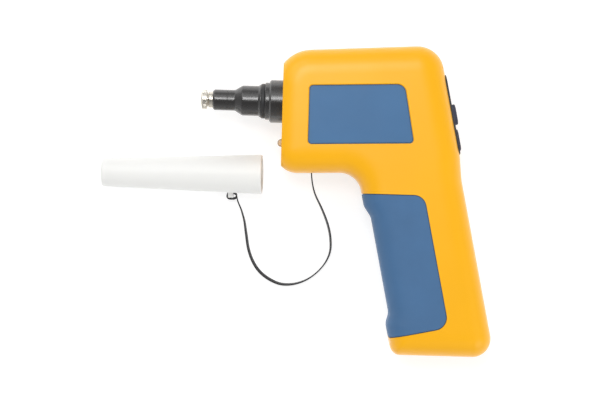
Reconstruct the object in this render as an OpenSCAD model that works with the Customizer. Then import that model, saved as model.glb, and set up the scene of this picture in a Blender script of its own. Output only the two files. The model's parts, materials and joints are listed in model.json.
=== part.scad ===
// Handheld fibre inspection camera: a pistol-shaped housing in two halves, a stepped nose with
// a metal tip, a keypad on the sloping back, and a tapered cap on a flat strap. It lies on its
// right side. Along the nose axis u runs back from the flat front face, v runs from the nose
// axis up to the top of the head, and h runs out from the parting plane to either side.

/* [Housing] */
// Thickness across the two halves
body_t = 36; // [35:0.5:40]
// Wall of the housing
wall = 3; // [2.6:0.1:3.4]
// Radius of the rounded edges along both sides
edge_r = 11; // [8:0.5:12]
// Depth by which the flat front face cuts into the rounded front
front_cut = 4.2; // [3.4:0.2:5.4]
// Length of the head along the nose axis
head_len = 91.6; // [88:0.2:104]
// Height of the head above the nose axis, at the front face
head_up = 27.5; // [26:0.5:34]
// Depth of the head below the nose axis, at the front face
head_down = 39.3; // [38:0.1:44]
// Slope of the head's top
top_rise = 3.5; // [0:0.5:6]
// Slope of the head's underside
under_rise = 2; // [0:0.5:4]
// Lean of the head's back and of the grip
lean = 12.1; // [8:0.1:15]
// Distance from the front face to the front of the grip, at the head's underside
grip_front = 42.6; // [40:0.2:44]
// Distance from the nose axis down to the butt
grip_end = 136.8; // [134:0.2:146]
// Step from the head's back in to the back of the grip
back_step = 1.5; // [0.5:0.1:2.5]
// Corner radius at the top of the front
front_top_r = 20; // [14:1:22]
// Corner radius at the bottom of the front
front_low_r = 13; // [12:0.5:16]
// Corner radius at the top of the back
back_top_r = 14.4; // [12:0.4:18]
// Radius between the head's underside and the grip
neck_r = 12; // [8:1:14]
// Corner radius at the front of the butt
butt_front_r = 5; // [3:0.5:8]
// Corner radius at the back of the butt
butt_back_r = 10; // [7:0.5:13]

/* [Finger scoop and grip pads] */
// Distance from the head's underside to the start of the scoop
scoop_from = 17; // [15:0.5:19]
// Length of the scoop down the grip
scoop_len = 64; // [60:1:66]
// Length of the ramp at each end of the scoop
scoop_ramp = 5.6; // [5:0.2:8]
// Depth of the scoop
scoop_depth = 2.7; // [1.5:0.1:3.2]
// Thickness of the soft pads
pad_t = 1.4; // [1:0.1:1.6]
// Distance from the head's underside to the top of a pad
pad_from = 10; // [9:0.5:12]
// Width of a pad across the grip
pad_w = 33; // [30:0.5:34]
// Height of a pad's back corner above the butt
pad_lift = 14.4; // [13:0.2:17]
// Slope of a pad's lower edge
pad_foot_rise = 10; // [6:1:12]
// Radius of a pad's corners
pad_corner_r = 7.5; // [4:0.5:10]

/* [Label panels] */
// Distance from the front face to a label panel
label_front = 14.3; // [13:0.1:16]
// Height of a label panel's top edge above the nose axis, at its front
label_up = 8.5; // [6:0.5:9]
// Depth of a label panel's lower edge below the nose axis, at its front
label_down = 23.5; // [22:0.5:24]
// Length of a label panel along its top
label_len = 51.6; // [48:0.2:53]
// Slope of a label panel's long edges
label_rise = 2.2; // [0:0.2:3]
// Lean of a label panel's back edge
label_lean = 10.4; // [6:0.2:12]
// Radius of a label panel's top back corner
label_big_r = 5; // [3:0.5:8]
// Radius of its other corners
label_small_r = 2; // [1:0.2:4]
// Thickness of a label panel
label_t = 1; // [0.8:0.1:1.2]
// Depth of a label panel's face below the housing
label_sunk = 0.25; // [0.1:0.05:0.4]

/* [Keypad] */
// Distance from the nose axis up to the top of the bezel, along the back
bezel_up = 17.2; // [16:0.1:17.6]
// Distance from the nose axis down to the bottom of the bezel
bezel_down = 27.2; // [27:0.1:29]
// Width of the bezel
bezel_w = 21; // [20:0.5:22]
// Thickness of the bezel
bezel_t = 2.2; // [2:0.1:2.3]
// Height of the bezel over the back of the head
bezel_proud = 0.55; // [0.4:0.05:0.7]
// Radius of the bezel's corners
bezel_r = 4; // [2:0.5:6]
// Distance from the top of the bezel to the capture key
keys_from = 16.6; // [15:0.1:17]
// Length of the capture key
capture_len = 11.3; // [10:0.1:11.4]
// Length of the light key
light_len = 11.8; // [11:0.1:12]
// Distance between the two keys
key_gap = 2.5; // [2.4:0.1:3]
// Width of the keys
key_w = 13; // [11:0.5:14]
// Height of the capture key over the bezel
capture_proud = 2.2; // [1.6:0.1:3]
// Height of the light key over the bezel
light_proud = 1.2; // [1:0.1:2]
// Travel of the keys
key_travel = 0.8; // [0.5:0.1:1]

/* [Nose] */
// Diameter of the collar against the front face
collar_d = 23.5; // [22:0.5:26]
// Length of the collar
collar_l = 7.4; // [6:0.2:9]
// Diameter of the collar's step
step_d = 20.5; // [20:0.1:21]
// Length of the collar's step
step_l = 2.4; // [2:0.1:3]
// Diameter of the seal ring that holds the cap
seal_d = 19.1; // [18.7:0.1:19.3]
// Width of the seal ring
seal_l = 2.1; // [1.8:0.1:2.6]
// Diameter of the barrel behind the cone
barrel_d = 16.5; // [15.5:0.1:17]
// Length from the seal ring to the cone
barrel_l = 10.4; // [9:0.2:12]
// Length of the cone
cone_l = 4.1; // [3:0.1:6]
// Diameter of the front sleeve and of the barrel's thin end
sleeve_d = 11.4; // [11:0.1:12]
// Length of the barrel's thin end
thin_l = 4.1; // [3.6:0.1:5]
// Length of the front sleeve
sleeve_l = 7.9; // [7:0.1:9]

/* [Tip] */
// Length of the metal neck
neck_l = 2.4; // [2:0.1:3]
// Diameter of the metal neck
neck_d = 9.2; // [9:0.1:9.6]
// Length of the groove behind the knurled nut
groove_l = 0.7; // [0.5:0.1:1]
// Diameter of the knurled nut
nut_d = 10.8; // [10.4:0.1:11.2]
// Length of the knurled nut
nut_l = 3; // [2.6:0.1:3.6]
// Number of grooves round the nut
nut_grooves = 24; // [16:2:28]
// Length of the lip in front of the nut
lip_l = 0.5; // [0.4:0.05:0.8]
// Diameter of a connector's ferrule, with its running fit
ferrule_d = 2.52; // [2.51:0.01:2.55]
// Length of the ferrule sleeve
ferrule_sleeve_l = 7; // [6:0.5:8]

/* [Port light] */
// Depth of the port light below the nose axis
port_down = 22.7; // [22:0.1:24]
// Diameter of the port light's rim
port_d = 4.7; // [4.4:0.1:5.2]
// Height of the port light's dome over the front face
port_proud = 2.5; // [2:0.1:3]

/* [Optics and focus] */
// Edge of the beam splitter cube
cube_w = 9; // [8:0.5:10]
// Diameter of the tube lens
tube_lens_d = 12; // [10:0.5:12]
// Diameter of the guide rods
rod_d = 2; // [1.8:0.1:2.4]
// Distance between the guide rods
rod_gap = 20; // [19:0.5:22]
// Diameter of the lead screw
screw_d = 3; // [2.6:0.1:3.4]
// Height of the lead screw above the optical axis
screw_h = 8; // [7.6:0.1:8.4]
// Travel of the focus carriage to either side
focus_travel = 1.5; // [1:0.1:2]
// Diameter of the focus motor
motor_d = 10; // [8:0.5:11]
// Length of the focus motor
motor_l = 13; // [10:1:16]
// Thickness of its mounting plate
motor_plate_t = 1; // [0.8:0.1:1.5]

/* [Boards and battery] */
// Thickness of the circuit boards
board_t = 1.6; // [1:0.1:1.7]
// Length of the main board
board_l = 56; // [50:1:58]
// Width of the main board
board_w = 38; // [34:1:39]
// Length of the battery
battery_l = 58; // [50:1:60]
// Width of the battery
battery_w = 25; // [20:0.5:25.5]
// Thickness of the battery
battery_t = 16; // [12:0.5:18]
// Width of the charging socket
usb_w = 8.9; // [8.6:0.1:9.4]
// Thickness of the charging socket
usb_t = 3.2; // [3:0.1:3.5]
// Depth of the charging socket
usb_l = 7.4; // [7:0.1:9]

/* [Screws] */
// Diameter of the housing screws
bolt_d = 2.5; // [2:0.1:2.6]
// Length of the housing screws under the head
bolt_l = 18; // [17:0.5:22]
// Diameter of their heads
bolt_head_d = 4.6; // [4:0.1:4.8]
// Thickness of their heads
bolt_head_t = 1.6; // [1.2:0.1:1.8]
// Diameter of the screw bosses
boss_d = 6.2; // [6:0.1:6.6]

/* [Cap] */
// Length of the cap
cap_l = 88.9; // [84:0.1:96]
// Diameter of the cap's mouth
cap_big_d = 21.9; // [21.7:0.1:23]
// Diameter of the cap's closed end
cap_small_d = 15.7; // [15:0.1:17]
// Wall of the cap
cap_wall = 1.2; // [1:0.1:1.4]
// Distance from the front face to the cap's mouth
cap_gap = 10.5; // [9:0.5:16]
// Depth of the cap's axis below the nose axis, at its mouth
cap_down = 40.2; // [38:0.2:44]
// Turn of the cap away from the nose axis
cap_yaw = 0.8; // [0:0.1:3]
// Roll of the cap that points its lug down
cap_roll = 27; // [20:1:30]

/* [Tether] */
// Distance from the cap's mouth to its lug
lug_from = 17.6; // [14:0.2:22]
// Width of the lug along the cap
lug_w = 3; // [2.4:0.1:3.4]
// Thickness of the lug's bar
lug_bar = 1; // [0.8:0.1:1.2]
// Height of the slot in the lug
slot_t = 2.7; // [2.6:0.1:3]
// Depth of the slot in the lug
slot_d = 2.6; // [2.4:0.1:2.8]
// Width of the strap
strap_w = 2.2; // [1.8:0.1:2.2]
// Thickness of the strap
strap_t = 0.7; // [0.5:0.1:0.8]
// Length of the strap's loop
loop_l = 6; // [5.6:0.1:7]
// Width of the strap's loop
loop_w = 4.2; // [4.1:0.1:4.6]

/* [Hidden] */
$fn = 48;

yellow = [0.99, 0.76, 0.13];
blue = [0.27, 0.44, 0.61];
black = [0.12, 0.12, 0.13];
steel = [0.75, 0.74, 0.72];
milky = [0.95, 0.95, 0.93];
board_green = [0.1, 0.35, 0.2];
brass = [0.78, 0.63, 0.3];
clear_tan = [0.85, 0.8, 0.68];

// Overrun of every cut past the face that it leaves
over = 0.5;
// Play of a loose fit, on each side
play = 0.15;
// Play of a close fit, on each side
close_play = 0.05;
// Play of a running fit on a rod or screw, on each side
run_play = 0.03;
// Gap between pieces that pass without touching
clear_gap = 0.3;

half_t = body_t / 2;
// Height at which the posts and bosses end inside the skin
post_end = half_t - wall + over;

// Outline of the housing
// Radius of the blends at the scoop, and of those at the step in the back
blend_r = 8;
step_r = 20;
// Distance from the nose axis down to the step in the back, and the length of that step
step_from = 27.4;
step_len = 13;
// Smallest radius left on a corner that is moved inwards
least_r = 1.5;
scoop_reach = scoop_depth / cos(lean);
scoop_top = -head_down - scoop_from;
scoop_low = scoop_top - scoop_len;
foot = -grip_end;

// Place along u of a line that leans like the back and passes through u at v = 0
function leaning(u, v) = u - v * tan(lean);
function grip_line(v) = grip_front - (v + head_down) * tan(lean);
function on_top(u) = head_up + u * tan(top_rise);
function on_under(u) = -head_down + u * tan(under_rise);
neck_u = grip_front / (1 + tan(under_rise) * tan(lean));
back_u = (head_len - head_up * tan(lean)) / (1 + tan(top_rise) * tan(lean));

// Corners in order round the outline: u, v, radius and the number of steps in the arc
housing_corners = [
    [-front_cut, on_under(-front_cut), front_low_r, 6],
    [neck_u, on_under(neck_u), neck_r, 7],
    [grip_line(scoop_top), scoop_top, blend_r, 2],
    [grip_line(scoop_top - scoop_ramp) + scoop_reach, scoop_top - scoop_ramp, blend_r, 2],
    [grip_line(scoop_low + scoop_ramp) + scoop_reach, scoop_low + scoop_ramp, blend_r, 2],
    [grip_line(scoop_low), scoop_low, blend_r, 2],
    [grip_line(foot), foot, butt_front_r, 5],
    [leaning(head_len, foot) - back_step, foot, butt_back_r, 7],
    [leaning(head_len, -step_from - step_len) - back_step, -step_from - step_len, step_r, 1],
    [leaning(head_len, -step_from), -step_from, step_r, 1],
    [back_u, on_top(back_u), back_top_r, 7],
    [-front_cut, on_top(-front_cut), front_top_r, 6]
];

function unit(p) = p / norm(p);
function left_of(p) = [-p[1], p[0]];
function crossed(a, b) = a[0] * b[1] - a[1] * b[0];
function bearing(p) = atan2(p[1], p[0]);

// Points of the arc at corner i of an outline that runs anticlockwise, moved inwards by inset.
// With edge given, the first and last corner end where they reach u = edge.
function corner_arc(corners, i, inset, edge) =
    let (
        n = len(corners),
        at = [corners[i][0], corners[i][1]],
        before = corners[(i + n - 1) % n],
        after = corners[(i + 1) % n],
        a = unit(at - [before[0], before[1]]),
        b = unit([after[0], after[1]] - at),
        turn = bearing([a * b, crossed(a, b)]),
        outer = turn > 0,
        own = corners[i][2],
        r = outer ? max(own - inset, min(own, least_r)) : own + inset,
        reach = inset + (outer ? r : -r),
        centre = at + reach * (left_of(a) + left_of(b)) / (1 + a * b),
        trim = is_undef(edge) ? 0 : acos(min(1, (centre[0] - edge) / r)),
        starts = bearing(outer ? -left_of(a) : left_of(a)),
        first = starts + (i == 0 ? trim : 0),
        last = starts + turn - (i == n - 1 ? trim : 0)
    )
    [for (k = [0:corners[i][3]])
        let (angle = first + (last - first) * k / corners[i][3])
        centre + r * [cos(angle), sin(angle)]];

function rounded(corners, inset = 0, edge = undef) =
    [for (i = [0:len(corners) - 1]) each corner_arc(corners, i, inset, edge)];
// Index of the first point of corner i
function starts_at(corners, i) = i == 0 ? 0 : starts_at(corners, i - 1) + corners[i - 1][3] + 1;

// A flat face of the housing's form is split between the end of the neck's arc and the step in
// the back, and each part fans out from a middle that sees all of it
neck_point = starts_at(housing_corners, 2) - 1;
back_point = starts_at(housing_corners, 8);
head_middle = [(neck_u + back_u) / 2, 0];
middle_v = (scoop_top + scoop_low) / 2;
grip_middle = [(grip_line(middle_v) + leaning(head_len, middle_v)) / 2, middle_v];
function fan(loop, middle) =
    [for (i = [0:len(loop) - 1]) [loop[i], loop[(i + 1) % len(loop)], middle]];

// Steps in the rounded edge below and above the height where the flat front face ends
low_steps = 3;
high_steps = 5;

// Height and inset of each ring of the housing's skin, moved inwards by skin
function ring_table(skin, from) =
    let (
        fillet = edge_r - skin,
        flat_h = half_t - skin - fillet,
        split = acos(1 - front_cut / fillet)
    )
    concat(
        [[from, skin]],
        [for (k = [0:low_steps])
            let (angle = split * k / low_steps)
            [flat_h + fillet * sin(angle), skin + fillet * (1 - cos(angle))]],
        [for (k = [1:high_steps])
            let (angle = split + (90 - split) * k / high_steps)
            [flat_h + fillet * sin(angle), skin + fillet * (1 - cos(angle))]]
    );

// Half of the housing's form, from h = from outwards, with its whole skin moved in by skin
module half_form(skin = 0, from = 0) {
    rings = ring_table(skin, from);
    layers = [for (ring = rings) rounded(housing_corners, ring[1], skin)];
    n = len(layers[0]);
    last = len(rings) - 1;
    count = (last + 1) * n;
    points = concat(
        [for (k = [0:last]) for (p = layers[k]) [p[0], p[1], rings[k][0]]],
        [for (k = [0, last]) for (p = [head_middle, grip_middle]) [p[0], p[1], rings[k][0]]]
    );
    low = concat(
        fan([for (i = [back_point:neck_point + n]) i % n], count),
        fan([for (i = [neck_point:back_point]) i], count + 1)
    );
    high = [for (t = low) [t[1] + last * n, t[0] + last * n, t[2] + 2]];
    sides = [for (k = [0:last - 1]) for (i = [0:n - 1])
        let (a = k * n + i, b = k * n + (i + 1) % n)
        each [[a, a + n, b + n], [a, b + n, b]]];
    polyhedron(points = points, faces = concat(low, sides, high), convexity = 8);
}

// Places
// The whole camera stands on its natural origin: the middle of the table under it
cap_tilt = atan((cap_big_d - cap_small_d) / 2 / cap_l);
cap_end_u = -cap_gap - cap_l * cos(cap_yaw) - cap_small_d / 2 * sin(cap_tilt);
shift_x = -(cap_end_u + leaning(head_len, foot + butt_back_r) - back_step) / 2;
shift_y = -(on_top(back_u - back_top_r) + foot) / 2;

module placed() translate([shift_x, shift_y, half_t]) children();
// Turns the z axis into the direction u, from the place u, v, h
module along_u(u = 0, v = 0, h = 0) translate([u, v, h]) rotate([0, 90, 0]) children();
// On the back of the head: x points out of it, and y up along it
module on_back(y = 0, h = 0) translate([head_len, 0, h]) rotate([0, 0, lean])
    translate([0, y, 0]) children();
// A block between two corners
module block(a, b) translate(a) cube(b - a);
// A tube or disc round the nose axis, from u = a to u = b
module ring(a, b, outer, inner = 0) along_u(a) difference() {
    cylinder(h = b - a, d = outer);
    if (inner > 0) translate([0, 0, -over]) cylinder(h = b - a + 2 * over, d = inner);
}
// A turned form round the nose axis, from points given as radius and u
module turned(profile) along_u() rotate_extrude() polygon(profile);
// An upright post of a half, from h = a to h = b
module post(u, v, a, b, d) translate([u, v, a]) cylinder(h = b - a, d = d);

// Label panels
function label_corners() = [
    [label_front, -label_down, label_small_r, 3],
    [label_front + label_len + (label_up + label_down) * tan(label_lean),
        -label_down + (label_len + label_up * tan(label_lean)) * tan(label_rise), label_small_r, 3],
    [label_front + label_len, label_up + label_len * tan(label_rise), label_big_r, 4],
    [label_front, label_up, label_small_r, 3]
];
module label_plate(from, to) translate([0, 0, from])
    linear_extrude(to - from) polygon(rounded(label_corners()));

// Grip pads
pad_top = -head_down - pad_from;
pad_back = grip_line(pad_top) + pad_w;
pad_low = foot + pad_lift;
pad_low_u = pad_back + (pad_top - pad_low) * tan(lean);
pad_reach = pad_low_u - grip_line(pad_top) + neck_r;
function pad_corners() = [
    [pad_low_u - pad_reach, pad_low - pad_reach * tan(pad_foot_rise), least_r, 1],
    [pad_low_u, pad_low, pad_corner_r, 5],
    [pad_back, pad_top, pad_corner_r, 5],
    [pad_low_u - pad_reach, pad_top, least_r, 1]
];
// The stretch of the grip that a pad covers, right through one half
module pad_stretch() translate([0, 0, -over])
    linear_extrude(half_t + 2 * over) polygon(rounded(pad_corners()));

// Keypad
bezel_l = bezel_up + bezel_down;
bezel_y = (bezel_up - bezel_down) / 2;
bezel_back = bezel_proud - bezel_t;
capture_y = bezel_up - keys_from - capture_len / 2;
light_y = capture_y - capture_len / 2 - key_gap - light_len / 2;
flange_reach = 1.1;
flange_t = 1;
key_r = 2.4;
crown_h = 0.4;
// Opening in the wall behind the bezel, for the keys' flanges
keys_top = capture_y + capture_len / 2 + flange_reach + play;
keys_low = light_y - light_len / 2 - flange_reach - play;
keys_opening_w = key_w + 2 * flange_reach + 2 * play;
flange_face = bezel_back - play;
flange_back = flange_face - flange_t;
switch_top = flange_back - key_travel - close_play;
switch_w = 6;
switch_t = 0.9;
plunger_d = 3.4;
plunger_t = 0.7;
key_board_face = switch_top - plunger_t - switch_t;
key_board_t = 1.2;
key_board_w = 19;
key_board_top = keys_top + key_board_w / 2;
key_board_low = keys_low - switch_w;
key_post_d = 3;
key_post_h = 5.5;
key_post_in = 3.2;

// A block with round corners in the plane of the back, from x = a to x = b
plate_steps = 5;
module back_plate(y, l, w, r, a, b) on_back(y) translate([a, 0, 0]) rotate([0, 90, 0])
    linear_extrude(b - a) polygon(rounded([
        [-w / 2, -l / 2, r, plate_steps], [w / 2, -l / 2, r, plate_steps],
        [w / 2, l / 2, r, plate_steps], [-w / 2, l / 2, r, plate_steps]
    ]));

// Nose, with u counted from the front face
collar_u = -collar_l;
step_u = collar_u - step_l;
seal_u = step_u - seal_l;
shoulder_l = 1.6;
cone_u = seal_u - barrel_l;
thin_u = cone_u - cone_l;
sleeve_back = thin_u - thin_l;
sleeve_front = sleeve_back - sleeve_l;
spigot_d = barrel_d;
barrel_bore = 13;
stem_d = 9.2;
stem_bore = 8;
flange_d = 24;
barrel_flange_t = 1.6;
bevel = 1;
small_bevel = 0.4;
shoulder_r = seal_d / 2 - small_bevel;

// Tip
neck_u2 = sleeve_front - neck_l;
groove_u = neck_u2 - groove_l;
nut_u = groove_u - nut_l;
tip_u = nut_u - lip_l;
groove_d = 7.6;
hub_d = 6.8;
lip_d = 8;
screw_stem_l = 4;
light_bore = 4.4;
ferrule_wall = 0.5;
ferrule_seat_d = ferrule_d + 2 * ferrule_wall;

// Objective
cell_back = step_u;
cell_front = sleeve_front + screw_stem_l;
cell_wall = 0.8;
lens_t = 2;
lens_edge_t = 1.2;

// Port light
port_bore = port_d - 2 * small_bevel;
port_flange_d = 6.4;
port_flange_t = 0.8;
led_d = 3;
led_l = 2;
port_board_w = 9;
port_board_t = 1;

// Screw places: u and v of each boss, in the yellow skin clear of the labels and pads
bolt_in = edge_r + clear_gap;
neck_bolt_v = pad_top + bolt_head_d / 2 + play + bevel;
butt_bolt_v = foot + bolt_in;
bolts = [
    [label_front, on_top(label_front) - bolt_in],
    [leaning(head_len, on_top(back_u) - bolt_in) - bolt_in / cos(lean), on_top(back_u) - bolt_in],
    [label_front, on_under(label_front) + bolt_in],
    [leaning(head_len, on_under(back_u)) - bolt_in, on_under(back_u)],
    [grip_line(neck_bolt_v) + bolt_in / cos(lean) + bevel, neck_bolt_v],
    [leaning(head_len, butt_bolt_v) - back_step - bolt_in / cos(lean), butt_bolt_v]
];
head_seat = half_t - bolt_head_t - 2 * small_bevel;

// Place along u of the key board's inner face, at the height v
function key_board_line(v) =
    leaning(head_len + (key_board_face - key_board_t) / cos(lean), v);

// Optical chassis: three plates on a base, behind the barrel's flange
chassis_u = wall + barrel_flange_t;
plate_t = 2.5;
base_t = 2;
chassis_gap = 4.6;
chassis_low = half_t - wall - chassis_gap;
chassis_high = screw_h + screw_d;
chassis_side = rod_gap / 2 + rod_d + bevel;
cube_u = chassis_u + plate_t + cube_w + lens_t;
middle_t = 3.5;
tube_lens_lip = 0.8;
carriage_t = 8;
carriage_gap = 5;
// Length from the middle plate to the end of the motor, and the share of the spare length
// ahead of the key board that lies between the splitter and the middle plate
focus_l = middle_t + carriage_t + board_t + plate_t + 2 * (focus_travel + carriage_gap)
    + motor_plate_t + motor_l;
splitter_share = 0.49;
splitter_back = cube_u + cube_w / 2;
middle_u = splitter_back
    + splitter_share * (key_board_line(motor_d / 2 + rod_d) - splitter_back - focus_l);
tube_lens_u = middle_u + tube_lens_lip;
carriage_u = middle_u + middle_t + focus_travel + carriage_gap;
sensor_t = 1.5;
sensor_w = 8;
camera_board_w = 17;
rear_u = carriage_u + carriage_t + board_t + focus_travel + carriage_gap;
chassis_end = rear_u + plate_t;
carriage_bore = 10.5;
carriage_high = chassis_high - bevel;
carriage_low = 6.5;
post_d = 5;
post_in = 4.5;
led_board_h = 5;
led_gap = 0.4;

floor_h = -(half_t - wall);

// Main board under the chassis, on short studs
board_stud_h = 1.6;
board_v = cube_w + lens_t + bevel - board_w;
// Share of the spare length ahead of the key board that lies in front of the main board
board_share = 0.73;
board_from = chassis_u + bevel;
board_to = key_board_line(board_v + board_w) - bevel;
board_u = board_from + board_share * (board_to - board_from - board_l);
board_h = floor_h + board_stud_h;
stud_d = 4;
stud_in = 3;
post_gap = 0.6;
chip_t = 1.2;
// Chips on the main board: places and sizes as shares of the board
chip_shares = [[0.12, 0.1, 0.22, 0.3], [0.45, 0.12, 0.24, 0.36], [0.42, 0.62, 0.16, 0.2]];

// A block with round corners, standing on its middle
block_steps = 4;
module rounded_block(l, w, h, r) linear_extrude(h) polygon(rounded([
    [-l / 2, -w / 2, r, block_steps], [l / 2, -w / 2, r, block_steps],
    [l / 2, w / 2, r, block_steps], [-l / 2, w / 2, r, block_steps]
]));

// Charging socket in the butt
usb_shell = 0.3;
usb_tongue_w = 6.6;
usb_tongue_t = 0.7;
usb_r = usb_t / 2 - usb_shell / 2;
usb_board_w = 18;
usb_board_l = 12;
usb_board_t = 1.2;
usb_board_v = foot + wall + bevel;
// Midway between the grip's front wall and the boss at the back of the butt
usb_u = (grip_line(usb_board_v) + wall / cos(lean) + bolts[5][0] - boss_d / 2) / 2;
module usb_outline(l, more) translate([usb_u, foot + l, 0]) rotate([90, 0, 0])
    rounded_block(usb_w + 2 * more, usb_t + 2 * more, l, usb_r + more);

// Battery and its cradle, in a frame along the grip with x in from the scoop and y up
battery_gap = 3;
// Share of the grip's spare depth that lies in front of the cradle
battery_share = 0.65;
cradle_wall = 2;
cradle_rim = 3;
cradle_r = 3;
battery_r = 2.4;
cradle_w = battery_w + 2 * (cradle_wall + play);
cradle_l = battery_l + 2 * (cradle_wall + play);
cradle_h = -battery_t / 2 - cradle_wall;
grip_depth = (head_len - back_step - grip_line(0) - scoop_reach) * cos(lean);
// Inset of the inner wall where the cradle's underside meets its rounding
inner_r = edge_r - wall;
cradle_drop = max(0, -cradle_h - half_t + edge_r);
cradle_inset = wall + inner_r - sqrt(inner_r * inner_r - cradle_drop * cradle_drop) + clear_gap;
battery_x = cradle_inset + cradle_w / 2
    + battery_share * (grip_depth - 2 * cradle_inset - cradle_w);
// The cradle ends a gap above the charging board and runs up from there
function grip_y(u, v) = (v - scoop_top) * cos(lean)
    - (u - grip_line(scoop_top) - scoop_reach) * sin(lean);
battery_y = grip_y(usb_u - usb_board_w / 2, usb_board_v + usb_board_l) + battery_gap + cradle_l / 2;
// The foot stands on the flat floor between the roundings
cradle_foot = min(cradle_w - 2 * cradle_wall,
    2 * (min(battery_x, grip_depth - battery_x) - edge_r - clear_gap));
module in_grip(x = 0, y = 0, h = 0)
    translate([grip_line(scoop_top) + scoop_reach, scoop_top, 0]) rotate([0, 0, lean])
        translate([x, y, h]) children();

// Tether: a strap from an anchor behind the head's underside to a loop through the cap's lug
tether_u = 16.8;
anchor_w = 5;
anchor_h = 3;
lug_leg = 0.8;
lug_r = 0.8;
lug_steps = 4;
loop_shift = 0.5;
module at_anchor() translate([tether_u, on_under(tether_u), 0]) rotate([0, 0, under_rise])
    children();

// Route of the strap: u, v, height above the table and turn of its width from the horizontal
strap_route = [
    [16.8, -39, 17.9, 90], [17.3, -43.5, 17.2, 88], [18.3, -48, 15.7, 84],
    [20, -52.3, 13.6, 80], [22.1, -56.3, 11.2, 76], [24, -60.3, 8.8, 73],
    [25.7, -64.3, 6.6, 71], [27.1, -68.4, 4.6, 70], [28.1, -72.6, 3, 70],
    [28.6, -77, 1.9, 72], [28.5, -81.4, 1.4, 76], [27.3, -85.6, 1.2, 82],
    [25.1, -89.6, 1.2, 88], [22.1, -93.2, 1.2, 90], [18.7, -96.2, 1.2, 88],
    [14.8, -98.6, 1.2, 82], [10.4, -100.3, 1.2, 75], [5.8, -101.1, 1.2, 68],
    [1.2, -100.9, 1.2, 62], [-3.2, -99.4, 1.2, 57], [-7.1, -97.2, 1.2, 55],
    [-10.4, -94.5, 1.2, 55], [-13, -91.3, 1.2, 56], [-15, -87.8, 1.2, 58],
    [-16.6, -83.8, 1.2, 60], [-17.7, -79.6, 1.2, 62], [-18.4, -75.3, 1.2, 64],
    [-19.1, -71, 1.2, 68], [-19.8, -66.8, 1.4, 74], [-20.9, -62.7, 2, 80],
    [-22.3, -58.8, 2.9, 86], [-23.8, -55.4, 3.7, 90]
];
// Share of the strap's half thickness that its corners are cut back by
corner_share = 0.5;
// Turn of the strap's width at its ends, where it stands upright
end_turn = 90;

// Cap, in its own frame: x from the mouth to the closed end, y out to the lug
cap_h = -half_t + cap_big_d / 2 * cos(cap_tilt);
cap_lug_r = cap_big_d / 2 - lug_from * tan(cap_tilt);
cap_seat_d = seal_d + 2 * close_play;
cap_seat_l = step_l;
cap_edge_r = 1.2;
loop_y = cap_lug_r + slot_d / 2 + (loop_w - strap_t) / 2;
module cap_place() translate([-cap_gap, -cap_down, cap_h]) rotate([0, 0, 180 + cap_yaw])
    rotate([0, cap_tilt, 0]) rotate([-cap_roll, 0, 0]) children();

function turn_x(p, a) = [p[0], p[1] * cos(a) - p[2] * sin(a), p[1] * sin(a) + p[2] * cos(a)];
function turn_y(p, a) = [p[0] * cos(a) + p[2] * sin(a), p[1], p[2] * cos(a) - p[0] * sin(a)];
function turn_z(p, a) = [p[0] * cos(a) - p[1] * sin(a), p[0] * sin(a) + p[1] * cos(a), p[2]];
// A point of the cap's frame, as u, v, h
function from_cap(p) = [-cap_gap, -cap_down, cap_h]
    + turn_z(turn_y(turn_x(p, -cap_roll), cap_tilt), 180 + cap_yaw);

module left_housing() color(yellow) placed() union() {
    half_shell();
    bosses();
}

module right_housing() color(yellow) placed() mirror([0, 0, 1]) difference() {
    union() {
        half_shell();
        bosses();
        for (u = [chassis_u + post_in, rear_u]) for (v = [-1, 1] * (chassis_side - post_in))
            post(u, v, chassis_low, post_end, post_d);
        for (p = board_studs()) post(p[0], p[1], -board_h, post_end, stud_d);
        for (side = [-1, 1])
            post(usb_u + side * (usb_board_w / 2 - stud_in), usb_board_v + usb_board_l - stud_in,
                usb_t / 2 + usb_board_t, post_end, stud_d);
    }
    for (p = bolts) {
        post(p[0], p[1], -over, head_seat + over, bolt_d + 2 * play);
        post(p[0], p[1], head_seat, half_t + over, bolt_head_d + 2 * play);
    }
}

// The skin of one half, with every opening that it has
module half_shell() difference() {
    half_form();
    half_form(wall, -over);
    difference() {
        pad_stretch();
        half_form(pad_t, -2 * over);
    }
    label_plate(half_t - label_t - label_sunk, half_t + over);
    along_u(-over) cylinder(h = wall + 2 * over, d = spigot_d + 2 * close_play);
    along_u(-over, -port_down) cylinder(h = wall + 2 * over, d = port_bore + 2 * close_play);
    back_plate(bezel_y, bezel_l, bezel_w, bezel_r, bezel_back, edge_r);
    back_plate((keys_top + keys_low) / 2, keys_top - keys_low, keys_opening_w, key_r,
        -wall - over, bezel_back + over);
    translate([0, -over, 0]) usb_outline(wall + 2 * over, play);
    at_anchor() block([-strap_t / 2 - play, -over, -strap_w / 2 - play],
        [strap_t / 2 + play, wall + over, strap_w / 2 + play]);
}

// Screw bosses and the posts of the key board, in either half
module bosses() {
    for (p = bolts) difference() {
        post(p[0], p[1], 0, post_end, boss_d);
        post(p[0], p[1], -over, bolt_l, bolt_d + 2 * close_play);
    }
    for (y = [keys_top + key_post_in, keys_low - key_post_in])
        on_back(y, key_post_h) rotate([0, -90, 0]) translate([0, 0, wall - over])
            cylinder(h = -key_board_face - wall + over, d = key_post_d);
}

module left_label_panel() color(blue) placed()
    label_plate(half_t - label_t - label_sunk, half_t - label_sunk);
module right_label_panel() color(blue) placed() mirror([0, 0, 1])
    label_plate(half_t - label_t - label_sunk, half_t - label_sunk);

// A pad is the skin of the grip over its stretch
module grip_pad() difference() {
    intersection() {
        half_form();
        pad_stretch();
    }
    half_form(pad_t, -over);
}
module left_grip_pad() color(blue) placed() grip_pad();
module right_grip_pad() color(blue) placed() mirror([0, 0, 1]) grip_pad();

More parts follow.
